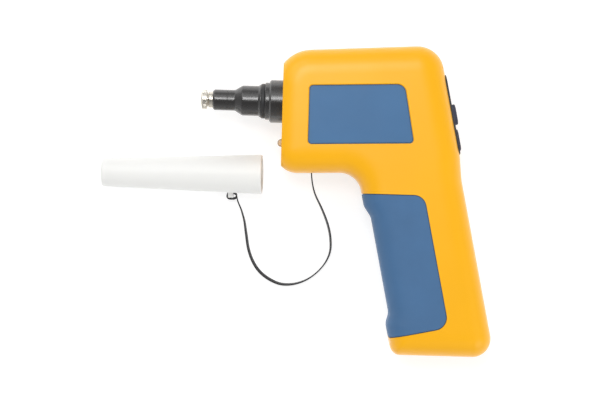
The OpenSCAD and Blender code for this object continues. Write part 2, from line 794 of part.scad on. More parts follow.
module keypad_bezel() color(black) placed() difference() {
    back_plate(bezel_y, bezel_l, bezel_w, bezel_r, bezel_back, bezel_proud);
    back_plate(capture_y, capture_len + 2 * play, key_w + 2 * play, key_r + play,
        bezel_back - over, bezel_proud + over);
    back_plate(light_y, light_len + 2 * play, key_w + 2 * play, key_r + play,
        bezel_back - over, bezel_proud + over);
}

// A key: a crowned cap through the bezel, with a flange that the bezel holds back
module key(y, l, proud) {
    crown_r = (l * l / 4 + crown_h * crown_h) / (2 * crown_h);
    intersection() {
        back_plate(y, l, key_w, key_r, flange_back, bezel_proud + proud);
        on_back(y) translate([bezel_proud + proud - crown_r, 0, 0])
            cylinder(h = key_w + 2 * over, r = crown_r, center = true, $fn = 180);
    }
    back_plate(y, l + 2 * flange_reach, key_w + 2 * flange_reach, key_r, flange_back, flange_face);
}
module capture_button() color(black) placed() key(capture_y, capture_len, capture_proud);
module light_button() color(black) placed() key(light_y, light_len, light_proud);

module key_board() color(board_green) placed() {
    back_plate((key_board_top + key_board_low) / 2, key_board_top - key_board_low, key_board_w,
        bevel, key_board_face - key_board_t, key_board_face);
    for (y = [capture_y, light_y]) {
        on_back(y) block([key_board_face, -switch_w / 2, -switch_w / 2],
            [key_board_face + switch_t, switch_w / 2, switch_w / 2]);
        on_back(y) translate([key_board_face + switch_t, 0, 0]) rotate([0, 90, 0])
            cylinder(h = plunger_t, d = plunger_d);
    }
}

module nose_barrel() color(black) placed() turned([
    [stem_bore / 2, sleeve_front], [stem_d / 2, sleeve_front], [stem_d / 2, sleeve_back],
    [sleeve_d / 2, sleeve_back], [sleeve_d / 2, thin_u], [barrel_d / 2, cone_u],
    [barrel_d / 2, seal_u - shoulder_l], [shoulder_r, seal_u - small_bevel],
    [shoulder_r, seal_u], [spigot_d / 2, seal_u], [spigot_d / 2, wall], [flange_d / 2, wall],
    [flange_d / 2, chassis_u], [barrel_bore / 2, chassis_u], [barrel_bore / 2, cone_u],
    [stem_bore / 2, cone_u]
]);

module nose_collar() color(black) placed() turned([
    [spigot_d / 2, step_u], [step_d / 2 - small_bevel, step_u],
    [step_d / 2, step_u + small_bevel], [step_d / 2, collar_u],
    [collar_d / 2 - bevel, collar_u], [collar_d / 2, collar_u + bevel], [collar_d / 2, 0],
    [spigot_d / 2, 0]
]);

module cap_seal_ring() color(black) placed() turned([
    [spigot_d / 2, seal_u], [seal_d / 2 - small_bevel, seal_u],
    [seal_d / 2, seal_u + small_bevel], [seal_d / 2, step_u - small_bevel],
    [seal_d / 2 - small_bevel, step_u], [spigot_d / 2, step_u]
]);

module front_sleeve() color(black) placed() turned([
    [stem_d / 2, sleeve_front], [sleeve_d / 2 - bevel, sleeve_front],
    [sleeve_d / 2, sleeve_front + bevel], [sleeve_d / 2, sleeve_back],
    [stem_d / 2, sleeve_back]
]);

module tip_body() color(steel) placed() turned([
    [ferrule_seat_d / 2, tip_u], [lip_d / 2 - small_bevel, tip_u],
    [lip_d / 2, tip_u + small_bevel], [lip_d / 2, nut_u], [hub_d / 2, nut_u],
    [hub_d / 2, groove_u], [groove_d / 2, groove_u], [groove_d / 2, neck_u2],
    [neck_d / 2 - small_bevel, neck_u2], [neck_d / 2, neck_u2 + small_bevel],
    [neck_d / 2, sleeve_front], [stem_bore / 2, sleeve_front], [stem_bore / 2, cell_front],
    [light_bore / 2, cell_front], [light_bore / 2, tip_u + ferrule_sleeve_l],
    [ferrule_seat_d / 2, tip_u + ferrule_sleeve_l]
]);

// Knurled nut that turns on the tip's hub between its groove and its lip
notch_d = 0.8;
module tip_nut() color(steel) placed() difference() {
    turned([
        [hub_d / 2 + close_play, nut_u + close_play], [nut_d / 2 - small_bevel, nut_u + close_play],
        [nut_d / 2, nut_u + close_play + small_bevel],
        [nut_d / 2, groove_u - close_play - small_bevel],
        [nut_d / 2 - small_bevel, groove_u - close_play], [hub_d / 2 + close_play, groove_u - close_play]
    ]);
    for (k = [0:nut_grooves - 1]) rotate([k * 360 / nut_grooves, 0, 0])
        along_u(nut_u - over, nut_d / 2 + notch_d / 4)
            cylinder(h = nut_l + 2 * over, d = notch_d, $fn = 16);
}

module ferrule_sleeve() color(milky) placed()
    ring(tip_u, tip_u + ferrule_sleeve_l, ferrule_seat_d, ferrule_d);

module objective_cell() color(brass) placed() turned([
    [stem_bore / 2 - cell_wall, cell_front], [stem_bore / 2, cell_front], [stem_bore / 2, cone_u],
    [barrel_bore / 2, cone_u], [barrel_bore / 2, cone_u + cell_wall * 2],
    [stem_bore / 2, cone_u + cell_wall * 2], [stem_bore / 2, cell_back],
    [stem_bore / 2 - cell_wall, cell_back]
]);

// A lens of diameter d between crowned faces, its front at u = at
module lens(at, d) {
    sag = (lens_t - lens_edge_t) / 2;
    r = (d * d / 4 + sag * sag) / (2 * sag);
    half_angle = asin(d / 2 / r);
    steps = 6;
    turned(concat(
        [for (k = [0:steps]) let (a = half_angle * k / steps)
            [r * sin(a), at + r - r * cos(a)]],
        [for (k = [steps:-1:0]) let (a = half_angle * k / steps)
            [r * sin(a), at + lens_t - r + r * cos(a)]]
    ));
}
module objective_lenses() color(clear_tan) placed()
    for (at = [cell_front + lens_t, cone_u, cell_back - 2 * lens_t])
        lens(at, stem_bore - 2 * cell_wall);
module tube_lens() color(clear_tan) placed() lens(tube_lens_u, tube_lens_d);

module port_light_lens() color(clear_tan) placed() translate([0, -port_down, 0]) turned(concat(
    [[0, wall + port_flange_t], [port_flange_d / 2, wall + port_flange_t],
        [port_flange_d / 2, wall], [port_bore / 2, wall], [port_bore / 2, 0], [port_d / 2, 0],
        [port_d / 2, -small_bevel]],
    [for (a = [15:15:90])
        [(port_d / 2 - small_bevel / 2) * cos(a),
            -small_bevel - (port_proud - small_bevel) * sin(a)]]
));

module port_light_board() color(board_green) placed() {
    back = wall + port_flange_t + led_l;
    along_u(back - led_l, -port_down) cylinder(h = led_l, d = led_d);
    block([back, -port_down - port_board_w / 2, -port_board_w / 2],
        [back + port_board_t, -port_down + port_board_w / 2, port_board_w / 2]);
}

// Chassis: base, three plates and the splitter's seat
module chassis_plate(u, t) block([u, -chassis_side, -chassis_low], [u + t, chassis_side, chassis_high]);
module optical_chassis() color(black) placed() difference() {
    union() {
        block([chassis_u, -chassis_side, -chassis_low],
            [chassis_end, chassis_side, -chassis_low + base_t]);
        chassis_plate(chassis_u, plate_t);
        chassis_plate(middle_u, middle_t);
        chassis_plate(rear_u, plate_t);
        block([cube_u - cube_w / 2 - bevel, -cube_w / 2 - bevel, -chassis_low],
            [cube_u + cube_w / 2 + bevel, cube_w / 2 + bevel, -cube_w / 2]);
    }
    along_u(chassis_u - over) cylinder(h = plate_t + 2 * over, d = barrel_bore);
    along_u(middle_u - over) cylinder(h = middle_t + 2 * over, d = tube_lens_d - 2 * tube_lens_lip);
    along_u(tube_lens_u) cylinder(h = middle_t + over, d = tube_lens_d);
    along_u(middle_u + middle_t - plate_t, 0, screw_h)
        cylinder(h = chassis_end - middle_u, d = screw_d + 2 * run_play);
    for (side = [-1, 1]) along_u(middle_u + middle_t - plate_t, side * rod_gap / 2)
        cylinder(h = chassis_end - middle_u, d = rod_d);
}

module beam_splitter() color(clear_tan) placed()
    block([cube_u, 0, 0] - [1, 1, 1] * cube_w / 2, [cube_u, 0, 0] + [1, 1, 1] * cube_w / 2);

module illumination_board() color(board_green) placed() {
    face = -cube_w / 2 - led_gap - led_l;
    block([cube_u - cube_w / 2, face - board_t, -chassis_low + base_t],
        [cube_u + cube_w / 2, face, led_board_h]);
    translate([cube_u, face, 0]) rotate([-90, 0, 0]) cylinder(h = led_l, d = led_d);
}

module guide_rods() color(steel) placed() for (side = [-1, 1])
    along_u(middle_u + middle_t - plate_t, side * rod_gap / 2)
        cylinder(h = chassis_end - middle_u - middle_t + plate_t, d = rod_d);

module lead_screw() color(steel) placed() along_u(middle_u + middle_t - plate_t + play, 0, screw_h)
    cylinder(h = chassis_end - middle_u - middle_t + plate_t - 2 * play, d = screw_d);

module focus_motor() color(steel) placed() {
    along_u(chassis_end + motor_plate_t, 0, screw_h) cylinder(h = motor_l, d = motor_d);
    block([chassis_end, -motor_d / 2 - rod_d, screw_h - rod_d],
        [chassis_end + motor_plate_t, motor_d / 2 + rod_d, screw_h + rod_d]);
}

module focus_carriage() color(brass) placed() difference() {
    block([carriage_u, -chassis_side, -carriage_low],
        [carriage_u + carriage_t, chassis_side, carriage_high]);
    along_u(carriage_u - over) cylinder(h = carriage_t + 2 * over, d = carriage_bore);
    along_u(carriage_u - over, 0, screw_h)
        cylinder(h = carriage_t + 2 * over, d = screw_d + 2 * run_play);
    for (side = [-1, 1]) along_u(carriage_u - over, side * rod_gap / 2)
        cylinder(h = carriage_t + 2 * over, d = rod_d + 2 * run_play);
}

module camera_board() color(board_green) placed()
    block([carriage_u + carriage_t, -camera_board_w / 2, -carriage_low],
        [carriage_u + carriage_t + board_t, camera_board_w / 2, carriage_low - bevel]);

module image_sensor() color(black) placed()
    block([carriage_u + carriage_t - sensor_t, -sensor_w / 2, -sensor_w / 2 + bevel],
        [carriage_u + carriage_t, sensor_w / 2, sensor_w / 2 - bevel]);

function board_studs() = [for (a = [stud_in, board_l - stud_in]) for (b = [stud_in, board_w - stud_in])
    [board_u + a, board_v + b]];
module main_board() color(board_green) placed() difference() {
    union() {
        block([board_u, board_v, board_h], [board_u + board_l, board_v + board_w, board_h + board_t]);
        for (c = chip_shares)
            block([board_u + c[0] * board_l, board_v + c[1] * board_w, board_h + board_t],
                [board_u + (c[0] + c[2]) * board_l, board_v + (c[1] + c[3]) * board_w,
                    board_h + board_t + chip_t]);
    }
    for (u = [chassis_u + post_in, rear_u]) for (v = [-1, 1] * (chassis_side - post_in))
        post(u, v, board_h - over, board_h + board_t + chip_t + over, post_d + 2 * post_gap);
    for (p = bolts)
        post(p[0], p[1], board_h - over, board_h + board_t + chip_t + over, boss_d + 2 * post_gap);
}

module battery_pack() color(black) placed()
    in_grip(battery_x, battery_y, -battery_t / 2)
        rounded_block(battery_w, battery_l, battery_t, battery_r);

module battery_cradle() color(black) placed()
    in_grip(battery_x, battery_y) {
        difference() {
            translate([0, 0, cradle_h])
                rounded_block(cradle_w, cradle_l, cradle_rim - cradle_h, cradle_r);
            translate([0, 0, -battery_t / 2]) rounded_block(battery_w + 2 * play,
                battery_l + 2 * play, battery_t, battery_r + play);
        }
        translate([0, 0, floor_h]) rounded_block(cradle_foot, cradle_l - 2 * edge_r,
            cradle_h - floor_h, cradle_r);
    }

module usb_connector() color(steel) placed() translate([0, play, 0]) {
    difference() {
        usb_outline(usb_l, 0);
        translate([0, -over, 0]) usb_outline(usb_l - usb_shell + over, -usb_shell);
    }
    block([usb_u - usb_tongue_w / 2, foot + bevel, -usb_tongue_t / 2],
        [usb_u + usb_tongue_w / 2, foot + usb_l - usb_shell, usb_tongue_t / 2]);
}

module usb_board() color(board_green) placed()
    block([usb_u - usb_board_w / 2, usb_board_v, -usb_t / 2 - usb_board_t],
        [usb_u + usb_board_w / 2, usb_board_v + usb_board_l, -usb_t / 2]);

module housing_screws() color(steel) placed() for (p = bolts) difference() {
    union() {
        post(p[0], p[1], -head_seat, -head_seat + bolt_l, bolt_d);
        post(p[0], p[1], -head_seat - bolt_head_t, -head_seat, bolt_head_d);
    }
    post(p[0], p[1], -head_seat - bolt_head_t - over, -head_seat - bolt_head_t / 2, bolt_d);
}

module tether_anchor() color(black) placed() at_anchor()
    block([-anchor_w / 2, wall, -anchor_w / 2], [anchor_w / 2, wall + anchor_h, anchor_w / 2]);

// Strap: one flat form swept along its route, its ends at the anchor and in the loop's band
module tether_strap() color(black) placed() {
    starts = [tether_u - wall * sin(under_rise), on_under(tether_u) + wall * cos(under_rise), 0,
        end_turn];
    ends = from_cap([lug_from - loop_shift - loop_l / 2 + strap_t / 2, loop_y, 0]);
    line = concat([starts], [for (p = strap_route) [p[0], p[1], p[2] - half_t, p[3]]],
        [[ends[0], ends[1], ends[2], end_turn]]);
    last = len(line) - 1;
    w = strap_w / 2;
    t = strap_t / 2;
    cut = t * corner_share;
    section = [[w - cut, -t], [w, cut - t], [w, t - cut], [w - cut, t],
        [cut - w, t], [-w, t - cut], [-w, cut - t], [cut - w, -t]];
    n = len(section);
    points = [for (i = [0:last])
        let (
            at = [line[i][0], line[i][1], line[i][2]],
            a = line[max(i - 1, 0)],
            b = line[min(i + 1, last)],
            along = i == 0 ? [sin(under_rise), -cos(under_rise), 0]
                : unit([b[0] - a[0], b[1] - a[1], b[2] - a[2]]),
            side = unit(cross([0, 0, 1], along)),
            up = cross(along, side),
            wide = side * cos(line[i][3]) + up * sin(line[i][3]),
            thick = cross(along, wide)
        )
        for (s = section) at + wide * s[0] + thick * s[1]];
    polyhedron(
        points = points,
        faces = concat(
            [[for (k = [0:n - 1]) k]],
            [for (i = [0:last - 1]) for (k = [0:n - 1])
                let (p = i * n + k, q = i * n + (k + 1) % n)
                each [[p, p + n, q + n], [p, q + n, q]]],
            [[for (k = [n - 1:-1:0]) last * n + k]]
        )
    );
}

// The strap's loop through the slot of the cap's lug
module loop_outline(l, w) {
    square([l - w, w], center = true);
    for (side = [-1, 1]) translate([side * (l - w) / 2, 0]) circle(d = w);
}
module tether_loop() color(black) placed() cap_place()
    translate([lug_from - loop_shift, loop_y, -strap_w / 2]) linear_extrude(strap_w) difference() {
        loop_outline(loop_l, loop_w);
        loop_outline(loop_l - 2 * strap_t, loop_w - 2 * strap_t);
    }

// Cap: a tapered cup with a seat for the seal ring in its mouth, and a lug for the loop
module cap() color(milky) placed() cap_place() {
    big = cap_big_d / 2;
    small = cap_small_d / 2;
    seat = cap_seat_d / 2;
    side_h = slot_t / 2 + lug_leg;
    rotate([0, 90, 0]) rotate_extrude() polygon(concat(
        [[seat, 0], [big - small_bevel, 0], [big, small_bevel]],
        [for (a = [0:15:90]) [small - cap_edge_r * (1 - cos(a)), cap_l - cap_edge_r * (1 - sin(a))]],
        [[0, cap_l], [0, cap_l - cap_wall], [small - cap_wall, cap_l - cap_wall],
            [min(seat, big - cap_wall) - small_bevel, cap_seat_l], [seat, cap_seat_l]]
    ));
    difference() {
        translate([lug_from - lug_w / 2, 0, 0]) rotate([90, 0, 90]) linear_extrude(lug_w)
            polygon(rounded([
                [cap_lug_r - cap_wall / 2, -side_h, 0, 1],
                [cap_lug_r + slot_d + lug_bar, -side_h, lug_r, lug_steps],
                [cap_lug_r + slot_d + lug_bar, side_h, lug_r, lug_steps],
                [cap_lug_r - cap_wall / 2, side_h, 0, 1]
            ]));
        block([lug_from - lug_w / 2 - over, cap_lug_r, -slot_t / 2],
            [lug_from + lug_w / 2 + over, cap_lug_r + slot_d, slot_t / 2]);
    }
}

left_housing();
right_housing();
left_label_panel();
right_label_panel();
left_grip_pad();
right_grip_pad();
keypad_bezel();
capture_button();
light_button();
nose_barrel();
nose_collar();
cap_seal_ring();
front_sleeve();
tip_body();
tip_nut();
ferrule_sleeve();
objective_cell();
objective_lenses();
port_light_lens();
port_light_board();
optical_chassis();
beam_splitter();
illumination_board();
tube_lens();
focus_carriage();
guide_rods();
lead_screw();
focus_motor();
camera_board();
image_sensor();
main_board();
key_board();
battery_pack();
battery_cradle();
usb_board();
usb_connector();
housing_screws();
tether_anchor();
tether_strap();
tether_loop();
cap();
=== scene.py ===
# Looks of the handheld fibre inspection camera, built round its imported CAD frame.
# Sizes are in millimetres in the camera's own directions, as in the part's source: u back from
# the front face, v up from the nose axis, h out from the parting plane.
import json
from math import acos, atan, atan2, cos, pi, radians, sin, sqrt, tan

import bmesh
import bpy
import numpy as np
from mathutils import Matrix, Vector


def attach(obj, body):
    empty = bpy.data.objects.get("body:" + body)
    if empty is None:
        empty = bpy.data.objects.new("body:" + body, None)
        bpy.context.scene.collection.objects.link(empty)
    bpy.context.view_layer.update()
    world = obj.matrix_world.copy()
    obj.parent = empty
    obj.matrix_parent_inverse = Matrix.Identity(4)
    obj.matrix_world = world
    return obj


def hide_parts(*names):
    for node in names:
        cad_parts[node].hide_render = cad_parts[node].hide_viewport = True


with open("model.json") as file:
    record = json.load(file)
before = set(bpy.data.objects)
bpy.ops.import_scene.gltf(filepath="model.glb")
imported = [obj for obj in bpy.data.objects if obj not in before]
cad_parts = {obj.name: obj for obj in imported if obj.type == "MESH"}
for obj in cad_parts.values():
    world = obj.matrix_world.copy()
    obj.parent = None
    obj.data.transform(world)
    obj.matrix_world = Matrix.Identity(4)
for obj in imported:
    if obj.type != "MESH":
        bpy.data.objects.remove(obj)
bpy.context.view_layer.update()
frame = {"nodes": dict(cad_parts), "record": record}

MM = 0.001
# Where the camera's own origin lies in the frame
SHIFT = np.array([-8.80933, 52.5033, 18.0])
# How far a tool reaches past what it cuts
OVER = 0.5
# Least radius that a corner keeps when its outline is moved in
MIN_R = 1.5
# Edges that bend by more than this are shaded sharp
SHARP = radians(32)
# Steps once round: turned pieces, front holes, screw seats, the port light's lens and the cap
ROUND, HOLE_ROUND, SEAT_ROUND, LENS_ROUND, CAP_ROUND = 128, 96, 48, 64, 160
# Steps round a corner of a turned outline, and the angle at which a rounded edge's rings start
TURNED_STEPS, EDGE_START = 4, 0.3


# Points and meshes
def unit(p):
    return p / np.linalg.norm(p)


def to_frame(points):
    """Points given as u, v, h, along the frame's axes and in metres."""
    return (np.asarray(points, float) + SHIFT) * MM


def turns(count):
    """Angles once round, in count steps."""
    return [2 * pi * k / count for k in range(count)]


def link(name, verts, faces):
    """An object of these vertices and faces, with its normals made to agree."""
    mesh = bpy.data.meshes.new(name)
    mesh.from_pydata([tuple(p) for p in verts], [], [tuple(f) for f in faces])
    bm = bmesh.new()
    bm.from_mesh(mesh)
    bmesh.ops.recalc_face_normals(bm, faces=bm.faces)
    bm.to_mesh(mesh)
    bm.free()
    piece = bpy.data.objects.new(name, mesh)
    bpy.context.scene.collection.objects.link(piece)
    return piece


def corner_arc(corners, i, inset=0.0, edge=None, finer=1.0):
    """Points of one corner of an outline that is moved in by inset. A corner is x, y, radius and
    steps. Where edge is given, the first and the last corner's arcs stop at x = edge."""
    n = len(corners)
    at = np.array(corners[i][:2], float)
    a = unit(at - np.array(corners[i - 1][:2], float))
    b = unit(np.array(corners[(i + 1) % n][:2], float) - at)
    turn = atan2(a[0] * b[1] - a[1] * b[0], a @ b)
    own = corners[i][2]
    outer = turn > 0
    r = max(own - inset, min(own, MIN_R)) if outer else own + inset
    reach = inset + (r if outer else -r)
    left_a = np.array([-a[1], a[0]])
    left_b = np.array([-b[1], b[0]])
    centre = at + reach * (left_a + left_b) / (1 + a @ b)
    trim = 0 if edge is None else acos(max(-1, min(1, (centre[0] - edge) / r)))
    towards = -left_a if outer else left_a
    starts = atan2(towards[1], towards[0])
    first = starts + (trim if i == 0 else 0)
    last = starts + turn - (trim if i == n - 1 else 0)
    steps = max(1, round(corners[i][3] * finer))
    return [centre + r * np.array([cos(t), sin(t)]) for t in np.linspace(first, last, steps + 1)]


def rounded(corners, inset=0.0, edge=None, finer=1.0):
    """The whole outline, with finer times the steps of its corners."""
    arcs = [corner_arc(corners, i, inset, edge, finer) for i in range(len(corners))]
    return np.concatenate(arcs)


def box_corners(l, w, r, steps=5):
    x, y = l / 2, w / 2
    return [(-x, -y, r, steps), (x, -y, r, steps), (x, y, r, steps), (-x, y, r, steps)]


def at_height(outline, h):
    return np.column_stack([outline, np.full(len(outline), h)])


def loft(rings, loop=False):
    """Vertices and faces of rings of as many points each, one after the other. The first and the
    last are closed by a face, or joined to each other."""
    n, m = len(rings[0]), len(rings)
    verts = [p for ring in rings for p in ring]
    faces = []
    for k in range(m if loop else m - 1):
        here, after = k * n, (k + 1) % m * n
        for i in range(n):
            j = (i + 1) % n
            faces.append((here + i, here + j, after + j, after + i))
    if not loop:
        faces += [tuple(range(n - 1, -1, -1)), tuple(range((m - 1) * n, m * n))]
    return verts, faces


def turned_piece(name, points):
    """A hollow piece round the nose axis, from an outline of radius, u and corner radius."""
    outline = rounded([(r, u, c, TURNED_STEPS) for r, u, c in points])
    rings = [to_frame([(u, r * cos(t), r * sin(t)) for r, u in outline]) for t in turns(ROUND)]
    return link(name, *loft(rings, loop=True))


def spun_piece(name, line, place, count):
    """A piece round the x axis, from a line of radius and x that starts and ends on that axis."""
    mid = line[1:-1]
    m = len(mid)
    verts, faces = [], []
    for k, t in enumerate(turns(count)):
        verts += list(place([(x, r * cos(t), r * sin(t)) for r, x in mid]))
        here, after = k * m, (k + 1) % count * m
        faces += [(here + i, here + i + 1, after + i + 1, after + i) for i in range(m - 1)]
    first, last = len(verts), len(verts) + 1
    verts += list(place([(line[0][1], 0, 0), (line[-1][1], 0, 0)]))
    for k in range(count):
        here, after = k * m, (k + 1) % count * m
        faces += [(here, after, first), (here + m - 1, after + m - 1, last)]
    return link(name, verts, faces)


def band_form(outer, inner, low, high, bevel, place):
    """A band between two outlines of as many points, from low to high, with bevelled rims."""
    steps = [
        (outer(0), low + bevel), (outer(bevel), low), (inner(-bevel), low), (inner(0), low + bevel),
        (inner(0), high - bevel), (inner(-bevel), high), (outer(bevel), high), (outer(0), high - bevel),
    ]
    return loft([place(outline, h) for outline, h in steps], loop=True)


def carve(piece, tools, how="DIFFERENCE"):
    """Applies booleans to a piece and removes the tools."""
    for tool in tools:
        step = piece.modifiers.new("carve", "BOOLEAN")
        step.operation = how
        step.object = tool
        step.solver = "MANIFOLD"
    bpy.context.view_layer.update()
    graph = bpy.context.evaluated_depsgraph_get()
    mesh = bpy.data.meshes.new_from_object(piece.evaluated_get(graph))
    piece.modifiers.clear()
    piece.data = mesh
    for tool in tools:
        bpy.data.objects.remove(tool)
    return piece


def finish_piece(piece, body, slot, node, material=None, weighted=True):
    """Shades a piece and puts it on its body in place of a node of the CAD model."""
    mesh = piece.data
    mesh.polygons.foreach_set("use_smooth", [True] * len(mesh.polygons))
    bm = bmesh.new()
    bm.from_mesh(mesh)
    for e in bm.edges:
        e.smooth = len(e.link_faces) == 2 and e.calc_face_angle(0) < SHARP
    bm.to_mesh(mesh)
    bm.free()
    if weighted:
        step = piece.modifiers.new("normals", "WEIGHTED_NORMAL")
        step.keep_sharp = True
    mesh.materials.clear()
    mesh.materials.append(material or MATERIAL_OF_SLOT[slot])
    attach(piece, body)
    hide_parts(node)
    return piece


# Camera: straight above the table, 1 m over the parting plane, with half of its view's width there
SENSOR_W = 36
HALF_VIEW = 0.169125
CAMERA_AT = (0.00629, -0.0039, 1.018)
CAMERA_TURN = radians(1.65)


def add_camera():
    data = bpy.data.cameras.new("camera")
    data.sensor_width = SENSOR_W
    data.lens = SENSOR_W / 2 / HALF_VIEW
    data.clip_start = 0.01
    data.clip_end = 20
    camera = bpy.data.objects.new("camera", data)
    bpy.context.scene.collection.objects.link(camera)
    camera.location = CAMERA_AT
    camera.rotation_euler = (0, 0, CAMERA_TURN)
    bpy.context.scene.camera = camera


# Materials
# Depths of the grain and of the lathe marks in metres, the marks' scale, and how far the gloss wanders
GRAIN_DEPTH = 0.0001
LATHE_DEPTH = 0.00003
LATHE_SCALE = 700.0
ROUGH_SPREAD = 0.05


def srgb(*rgb):
    """A colour given from 0 to 255, as linear values."""
    shares = [v / 255 for v in rgb]
    return tuple(c / 12.92 if c <= 0.04045 else ((c + 0.055) / 1.055) ** 2.4 for c in shares)


def fill(node, **values):
    """Sets sockets, with _ for a space in their names, and the node's other settings."""
    for key, value in values.items():
        socket = key.replace("_", " ")
        if socket in node.inputs:
            node.inputs[socket].default_value = value
        else:
            setattr(node, key, value)


class Nodes:
    """A short way to build the node tree of a material or a world."""

    def __init__(self, owner):
        owner.use_nodes = True
        self.nodes = owner.node_tree.nodes
        self.links = owner.node_tree.links

    def node(self, kind, **values):
        node = self.nodes.new(kind)
        fill(node, **values)
        return node

    def link(self, a, out, b, into):
        self.links.new(a.outputs[out], b.inputs[into])


def material(name, colour, rough=0.4, metal=0.0, spread=0.04, scale=60.0, bump=0.02,
             bump_scale=2500.0, turned=0.0, **more):
    """Plastic, rubber or metal: a base colour that wanders a little, an uneven gloss, a fine
    grain, and, if turned is given, lathe marks round the nose axis."""
    mat = bpy.data.materials.new(name)
    m = Nodes(mat)
    bsdf = m.nodes["Principled BSDF"]
    coords = m.node("ShaderNodeTexCoord")
    wander = m.node("ShaderNodeTexNoise", Scale=scale, Detail=4.0, Roughness=0.55)
    m.link(coords, "Object", wander, "Vector")
    ramp = m.node("ShaderNodeValToRGB")
    low, high = ramp.color_ramp.elements
    low.position, high.position = 0.35, 0.65
    low.color = (*[c * (1 - spread) for c in colour], 1)
    high.color = (*[min(1.0, c * (1 + spread)) for c in colour], 1)
    m.link(wander, "Fac", ramp, "Fac")
    m.link(ramp, "Color", bsdf, "Base Color")
    gloss = m.node("ShaderNodeMapRange", To_Min=rough - ROUGH_SPREAD, To_Max=rough + ROUGH_SPREAD)
    smear = m.node("ShaderNodeTexNoise", Scale=scale * 3.1, Detail=5.0, Roughness=0.6)
    m.link(coords, "Object", smear, "Vector")
    m.link(smear, "Fac", gloss, "Value")
    m.link(gloss, "Result", bsdf, "Roughness")
    grain = m.node("ShaderNodeTexNoise", Scale=bump_scale, Detail=2.0, Roughness=0.5)
    m.link(coords, "Object", grain, "Vector")
    raised = m.node("ShaderNodeBump", Strength=bump, Distance=GRAIN_DEPTH)
    m.link(grain, "Fac", raised, "Height")
    if turned:
        lines = m.node("ShaderNodeTexWave", Scale=LATHE_SCALE, Distortion=0.6, Detail=1.0,
                       wave_type="BANDS", bands_direction="X")
        m.link(coords, "Object", lines, "Vector")
        marks = m.node("ShaderNodeBump", Strength=turned, Distance=LATHE_DEPTH)
        m.link(lines, "Fac", marks, "Height")
        m.link(raised, "Normal", marks, "Normal")
        raised = marks
    m.link(raised, "Normal", bsdf, "Normal")
    fill(bsdf, Metallic=metal, **more)
    return mat


def clear_material(name, colour, rough, ior, clear):
    """Glass or clear plastic, with a faintly uneven face."""
    mat = bpy.data.materials.new(name)
    m = Nodes(mat)
    bsdf = m.nodes["Principled BSDF"]
    coords = m.node("ShaderNodeTexCoord")
    wander = m.node("ShaderNodeTexNoise", Scale=900.0, Detail=2.0)
    m.link(coords, "Object", wander, "Vector")
    raised = m.node("ShaderNodeBump", Strength=0.04, Distance=GRAIN_DEPTH)
    m.link(wander, "Fac", raised, "Height")
    m.link(raised, "Normal", bsdf, "Normal")
    fill(bsdf, Base_Color=(*colour, 1), Roughness=rough, IOR=ior, Transmission_Weight=clear)
    return mat


YELLOW = material("yellow_plastic", srgb(253, 183, 11), rough=0.34, spread=0.015, scale=25,
                  bump=0.05, bump_scale=2200, Specular_IOR_Level=0.4)
BLUE_LABEL = material("blue_label", srgb(58, 107, 153), rough=0.45, spread=0.03, scale=40,
                      bump=0.03, bump_scale=1500)
BLUE_RUBBER = material("blue_rubber", srgb(65, 107, 150), rough=0.62, spread=0.04, scale=50,
                       bump=0.12, bump_scale=3200)
BLACK = material("black_plastic", srgb(44, 44, 50), rough=0.5, spread=0.06, bump=0.08)
KEY = material("key_plastic", srgb(50, 53, 76), rough=0.42, spread=0.05, bump=0.05)
ANODISED = material("black_anodised", srgb(28, 26, 26), rough=0.27, spread=0.06, bump=0.04,
                    turned=0.15, IOR=1.75)
SEAL = material("black_rubber", srgb(38, 38, 40), rough=0.5, spread=0.05, bump=0.04)
STRAP = material("strap_rubber", srgb(30, 30, 33), rough=0.5, spread=0.08, scale=200, bump=0.08,
                 bump_scale=4000)
NICKEL = material("nickel", srgb(206, 201, 191), rough=0.22, metal=1.0, spread=0.03, turned=0.4)
CERAMIC = material("white_ceramic", srgb(240, 238, 230), rough=0.22, spread=0.01, bump=0.0)
WHITE = material("white_plastic", srgb(246, 246, 243), rough=0.42, spread=0.008, scale=30,
                 bump=0.03, bump_scale=1800, Subsurface_Weight=0.2,
                 Subsurface_Radius=(0.002, 0.002, 0.0019), Subsurface_Scale=1.0)
BRASS = material("brass", srgb(200, 165, 90), rough=0.32, metal=1.0, turned=0.3)
STEEL = material("steel", srgb(190, 190, 190), rough=0.3, metal=1.0, turned=0.3)
BOARD = material("circuit_board", srgb(24, 92, 55), spread=0.12, scale=400, bump=0.1)
BATTERY = material("battery_film", srgb(40, 42, 48), rough=0.45, spread=0.05, bump=0.05)
GLASS = clear_material("clear_glass", (0.93, 0.97, 0.98), 0.02, 1.6, 0.9)
CLEAR = clear_material("clear_lens", srgb(255, 236, 205), 0.08, 1.49, 0.6)

MATERIAL_OF_SLOT = {
    "yellow_plastic": YELLOW, "blue_label": BLUE_LABEL, "blue_rubber": BLUE_RUBBER,
    "black_plastic": BLACK, "key_plastic": KEY, "black_anodised": ANODISED,
    "black_rubber": SEAL, "nickel": NICKEL, "white_ceramic": CERAMIC, "brass": BRASS,
    "clear_glass": GLASS, "clear_lens": CLEAR, "circuit_board": BOARD, "steel": STEEL,
    "battery_can": BATTERY, "white_plastic": WHITE,
}


def colour_nodes():
    """Gives every node of the CAD model the material of its slot."""
    for row in frame["record"]["subparts"]:
        cad = frame["nodes"][row["node"]]
        cad.data.materials.clear()
        cad.data.materials.append(MATERIAL_OF_SLOT[row["material_slot"]])


# Housing: half its thickness and its wall, and its bevel along the parting plane. The front face
# cuts a strip off the rounded edge, and that edge runs out over a width of the flat side.
HALF_T, WALL, HALF_SEAM = 18.0, 3.0, 0.18
EDGE_R, FRONT_CUT, RUN_OUT = 11.0, 4.2, 3.5
HEAD_LEN, HEAD_UP, HEAD_DOWN = 91.6, 27.5, 39.3
GRIP_FRONT, FOOT = 42.6, -136.8
LEAN, TOP_RISE, UNDER_RISE = radians(12.1), radians(3.5), radians(2)
